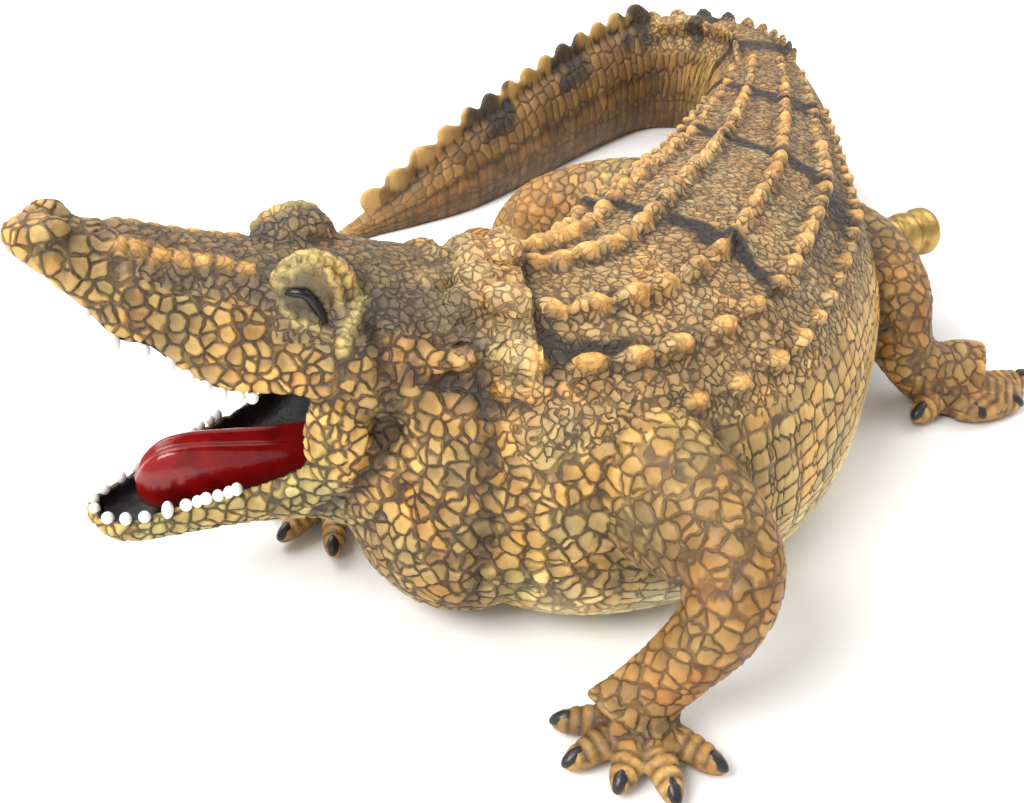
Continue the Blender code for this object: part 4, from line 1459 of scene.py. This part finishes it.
teeth = {
    "width": 1.4,
    # forward, outward, up, length with its sign
    "upper": (
        (80.5, 3.4, 105.6, -2.6), (76.5, 6.2, 102.0, -2.6), (71.2, 8.2, 95.6, -3.0), (66.8, 9.8, 88.2, -3.8),
        (61.4, 11.2, 85.2, -2.6), (56.2, 12.6, 81.8, -3.2), (53.0, 13.4, 78.6, -3.2), (49.6, 14.6, 75.6, -2.8),
        (46.4, 15.6, 73.6, -2.8), (43.4, 16.4, 72.5, -2.8), (40.4, 17.0, 71.8, -2.4),
    ),
    "lower": (
        (79.2, 1.8, 37.0, 2.6), (77.0, 5.6, 36.4, 2.6), (72.6, 8.2, 37.0, 2.8), (68.4, 10.0, 38.0, 2.4),
        (63.2, 11.6, 39.4, 4.0), (58.6, 12.7, 41.0, 2.6), (56.2, 13.3, 41.8, 2.6), (53.8, 13.9, 42.6, 2.6),
        (51.3, 14.6, 43.3, 2.6), (48.9, 15.2, 44.1, 2.6), (46.6, 15.7, 44.8, 2.8),
    ),
}


def makeTeeth():
    bm = bmesh.new()
    random = np.random.default_rng(12)
    for forward, outward, up, length in teeth["upper"] + teeth["lower"]:
        for side in (-1, 1):
            grow = random.uniform(0.92, 1.12)
            lean = Matrix.Rotation(random.uniform(-0.15, 0.15), 3, "X")
            centre = onHead(forward + random.uniform(-0.3, 0.3), (outward + 0.15) * side, up + length * 0.30)
            thick = teeth["width"] * grow
            ball(bm, centre, (thick, thick, abs(length) * 0.62), lean, 14, 10)
    return finishShell(bm, "mouthTeeth")


def makeTongue():
    bm = bmesh.new()
    rings = uprightRings(headRows(head["tongue"]), 36, 6)
    for ring in rings:
        f, l, z = headPlace(ring)
        half = max(np.abs(l).max(), 0.5)
        side = l / half
        middle = (z.max() + z.min()) / 2
        upper = step(0.0, 0.7, (z - middle) / (z.max() - middle))
        groove = hump(side, 0.1, 0.26) * 2.0 * min(1.0, half / 8)
        lip = hump(side, 0.66, 0.3) * 0.9 * min(1.0, half / 8)
        ring[:, 2] = z + upper * (lip - groove)
    loft(bm, rings)
    return finishShell(bm, "mouthTongue")


# size, droop and place of a claw on a toe of the usual thickness
claws = {"size": (3.3, 1.75, 1.55), "back": 1.6, "up": 5.15, "droop": 30.0, "toe": 3.8}


def makeClaws():
    # rounded nails that lie on the tips of the toes
    bm = bmesh.new()
    droop = math.radians(claws["droop"])
    for palm, tips, thick in feet:
        for tip in tips:
            away = np.array(tip, float) - np.array(palm, float)
            away /= np.linalg.norm(away)
            along = np.array([away[0] * math.cos(droop), away[1] * math.cos(droop), -math.sin(droop)])
            across = np.array([-away[1], away[0], 0])
            up = np.cross(along, across)
            turn = Matrix((along, across, up)).transposed()
            size = [value * thick / claws["toe"] for value in claws["size"]]
            x, y = (tip[k] - away[k] * claws["back"] for k in (0, 1))
            ball(bm, (x, y, claws["up"] * thick / claws["toe"]), size, turn, 24, 16)
    return finishShell(bm, "footClaws")


eyes = {
    "out": (0.05, 0.1, 0.0),  # how far the black stands out of the slit: forward, left, up
    "size": (0.2, 0.95),  # half width at the ends, and what the middle adds
}


def makeEyes():
    # a narrow slit of glossy black that fills the groove between the lids
    bm = bmesh.new()
    line = np.array(face["slit"], float)
    for turn in range(4):
        line[1:-1] = (line[:-2] + line[1:-1] + line[2:]) / 3
    line = line + np.array(eyes["out"])
    for side in (-1, 1):
        rows = []
        for k, (f, l, z) in enumerate(line):
            spot = onHead(f, l * side, z)
            size = eyes["size"][0] + eyes["size"][1] * math.sin(math.pi * k / (len(line) - 1)) ** 0.6
            rows.append(tuple(spot) + (size, size))
        rows = np.array(rows)
        for turn in range(2):
            rows[1:-1, :3] = (rows[:-2, :3] + 2 * rows[1:-1, :3] + rows[2:, :3]) / 4
        loft(bm, limbRings(rows, 16, 2))
    return finishShell(bm, "headEyes")


for make, material in ((makeTeeth, "tooth"), (makeTongue, "tongue"), (makeClaws, "claw"), (makeEyes, "eye")):
    piece = make()
    placeOnFrame(piece)
    dress(piece, material)
print("teeth, tongue, claws and eyes made")


# the brass hose connector: a profile spun about its axis

hose = {
    "outside": 0.0170, "bore": 0.0100, "reach": 0.0230, "hidden": 0.0080,
    "ridges": 3, "taper": 0.0004, "depth": 0.0012, "neck": 0.0016, "gap": 0.0004,
    # share of a ridge's length, share of its depth
    "ridge": ((0.10, 0.95), (0.22, 0.35), (0.38, 0.05), (0.55, 0.0), (0.72, 0.06), (0.86, 0.4), (0.96, 0.9)),
}


def makeHose():
    large = hose["outside"] / 2
    start = hose["hidden"] + hose["gap"]
    pitch = (hose["reach"] - hose["gap"]) / hose["ridges"]
    profile = [(0.0, large - hose["neck"]), (start, large - hose["neck"])]
    for ring in range(hose["ridges"]):
        rim = large - hose["taper"] * (hose["ridges"] - 1 - ring)
        for share, drop in hose["ridge"]:
            profile.append((start + pitch * (ring + share), rim - hose["depth"] * drop))
    end = start + pitch * hose["ridges"]
    profile += [(end, hose["bore"] / 2 + 0.0006), (end - 0.0005, hose["bore"] / 2), (0.0, hose["bore"] / 2)]
    middle = Vector(((hoseLow[0] + hoseHigh[0]) / 2, hoseLow[1], (hoseLow[2] + hoseHigh[2]) / 2))
    bm = bmesh.new()
    verts = [bm.verts.new(middle + Vector((0, along, radius))) for along, radius in profile]
    edges = [bm.edges.new((verts[k], verts[(k + 1) % len(verts)])) for k in range(len(verts))]
    bmesh.ops.spin(bm, geom=verts + edges, cent=middle, axis=(0, 1, 0), angle=2 * math.pi, steps=72,
                   use_merge=True)
    bmesh.ops.remove_doubles(bm, verts=bm.verts, dist=1e-6)
    return finishShell(bm, "hoseConnector")


hoseEnd = makeHose()
dress(hoseEnd, "brass", ("hose_connector",))
print("hose connector made")


# floor, light and camera

studio = {
    # the camera: where it stands on the sheet, the angles that it looks at, its lens and sensor
    "cameraSheet": (322.0, -166.0, 230.0),
    "turn": 65.0,
    "down": 35.0,
    "lens": 43.95,
    "sensor": 36.0,
    "floorSize": 3.0,
    "floor": ((246, 246, 245), (250, 250, 250)),
    # place in metres, size and power of each light, all aimed at one spot
    "aim": (0.02, 0.0, 0.05),
    "lights": (
        ((0.30, -0.85, 0.95), 0.7, 14.5),
        ((-0.7, -0.45, 0.95), 0.9, 9.0),
        ((-0.1, 0.8, 0.95), 0.9, 4.5),
    ),
    "sky": 0.70,
}


def makeFloor():
    bm = bmesh.new()
    bmesh.ops.create_grid(bm, x_segments=1, y_segments=1, size=studio["floorSize"])
    floor = asPiece(bm, "studioFloor")
    material, tree, shader = newMaterial("floorWhite")
    grain = noise(tree, objectSpot(tree), 3.0, 2.0)
    white = blend(tree, mapped(tree, grain, 0.2, 0.8), *(linear(*tone) for tone in studio["floor"]))
    tree.links.new(white, shader.inputs["Base Color"])
    shader.inputs["Roughness"].default_value = 0.9
    floor.data.materials.append(material)


def makeLights():
    for k, (spot, size, power) in enumerate(studio["lights"]):
        light = bpy.data.lights.new("softLight%d" % k, "AREA")
        light.shape = "DISK"
        light.size = size
        light.energy = power
        lamp = bpy.data.objects.new("softLight%d" % k, light)
        lamp.location = spot
        lamp.rotation_euler = (Vector(studio["aim"]) - Vector(spot)).to_track_quat("-Z", "Y").to_euler()
        bpy.context.scene.collection.objects.link(lamp)
    world = bpy.data.worlds.new("softSky")
    world.use_nodes = True
    sky = world.node_tree.nodes["Background"]
    sky.inputs[0].default_value = (1, 1, 1, 1)
    sky.inputs[1].default_value = studio["sky"]
    bpy.context.scene.world = world
    bpy.context.scene.view_settings.view_transform = "Standard"


def makeCamera():
    lens = bpy.data.cameras.new("photoView")
    lens.sensor_width = studio["sensor"]
    lens.lens = studio["lens"]
    lens.clip_start = 0.01
    camera = bpy.data.objects.new("photoView", lens)
    camera.location = toWorld(studio["cameraSheet"])
    turn, down = math.radians(studio["turn"]), math.radians(studio["down"])
    look = Vector((-math.sin(turn) * math.cos(down), math.cos(turn) * math.cos(down), -math.sin(down)))
    camera.rotation_euler = look.to_track_quat("-Z", "Y").to_euler()
    bpy.context.scene.collection.objects.link(camera)
    bpy.context.scene.camera = camera


makeFloor()
makeLights()
makeCamera()
print("studio made")
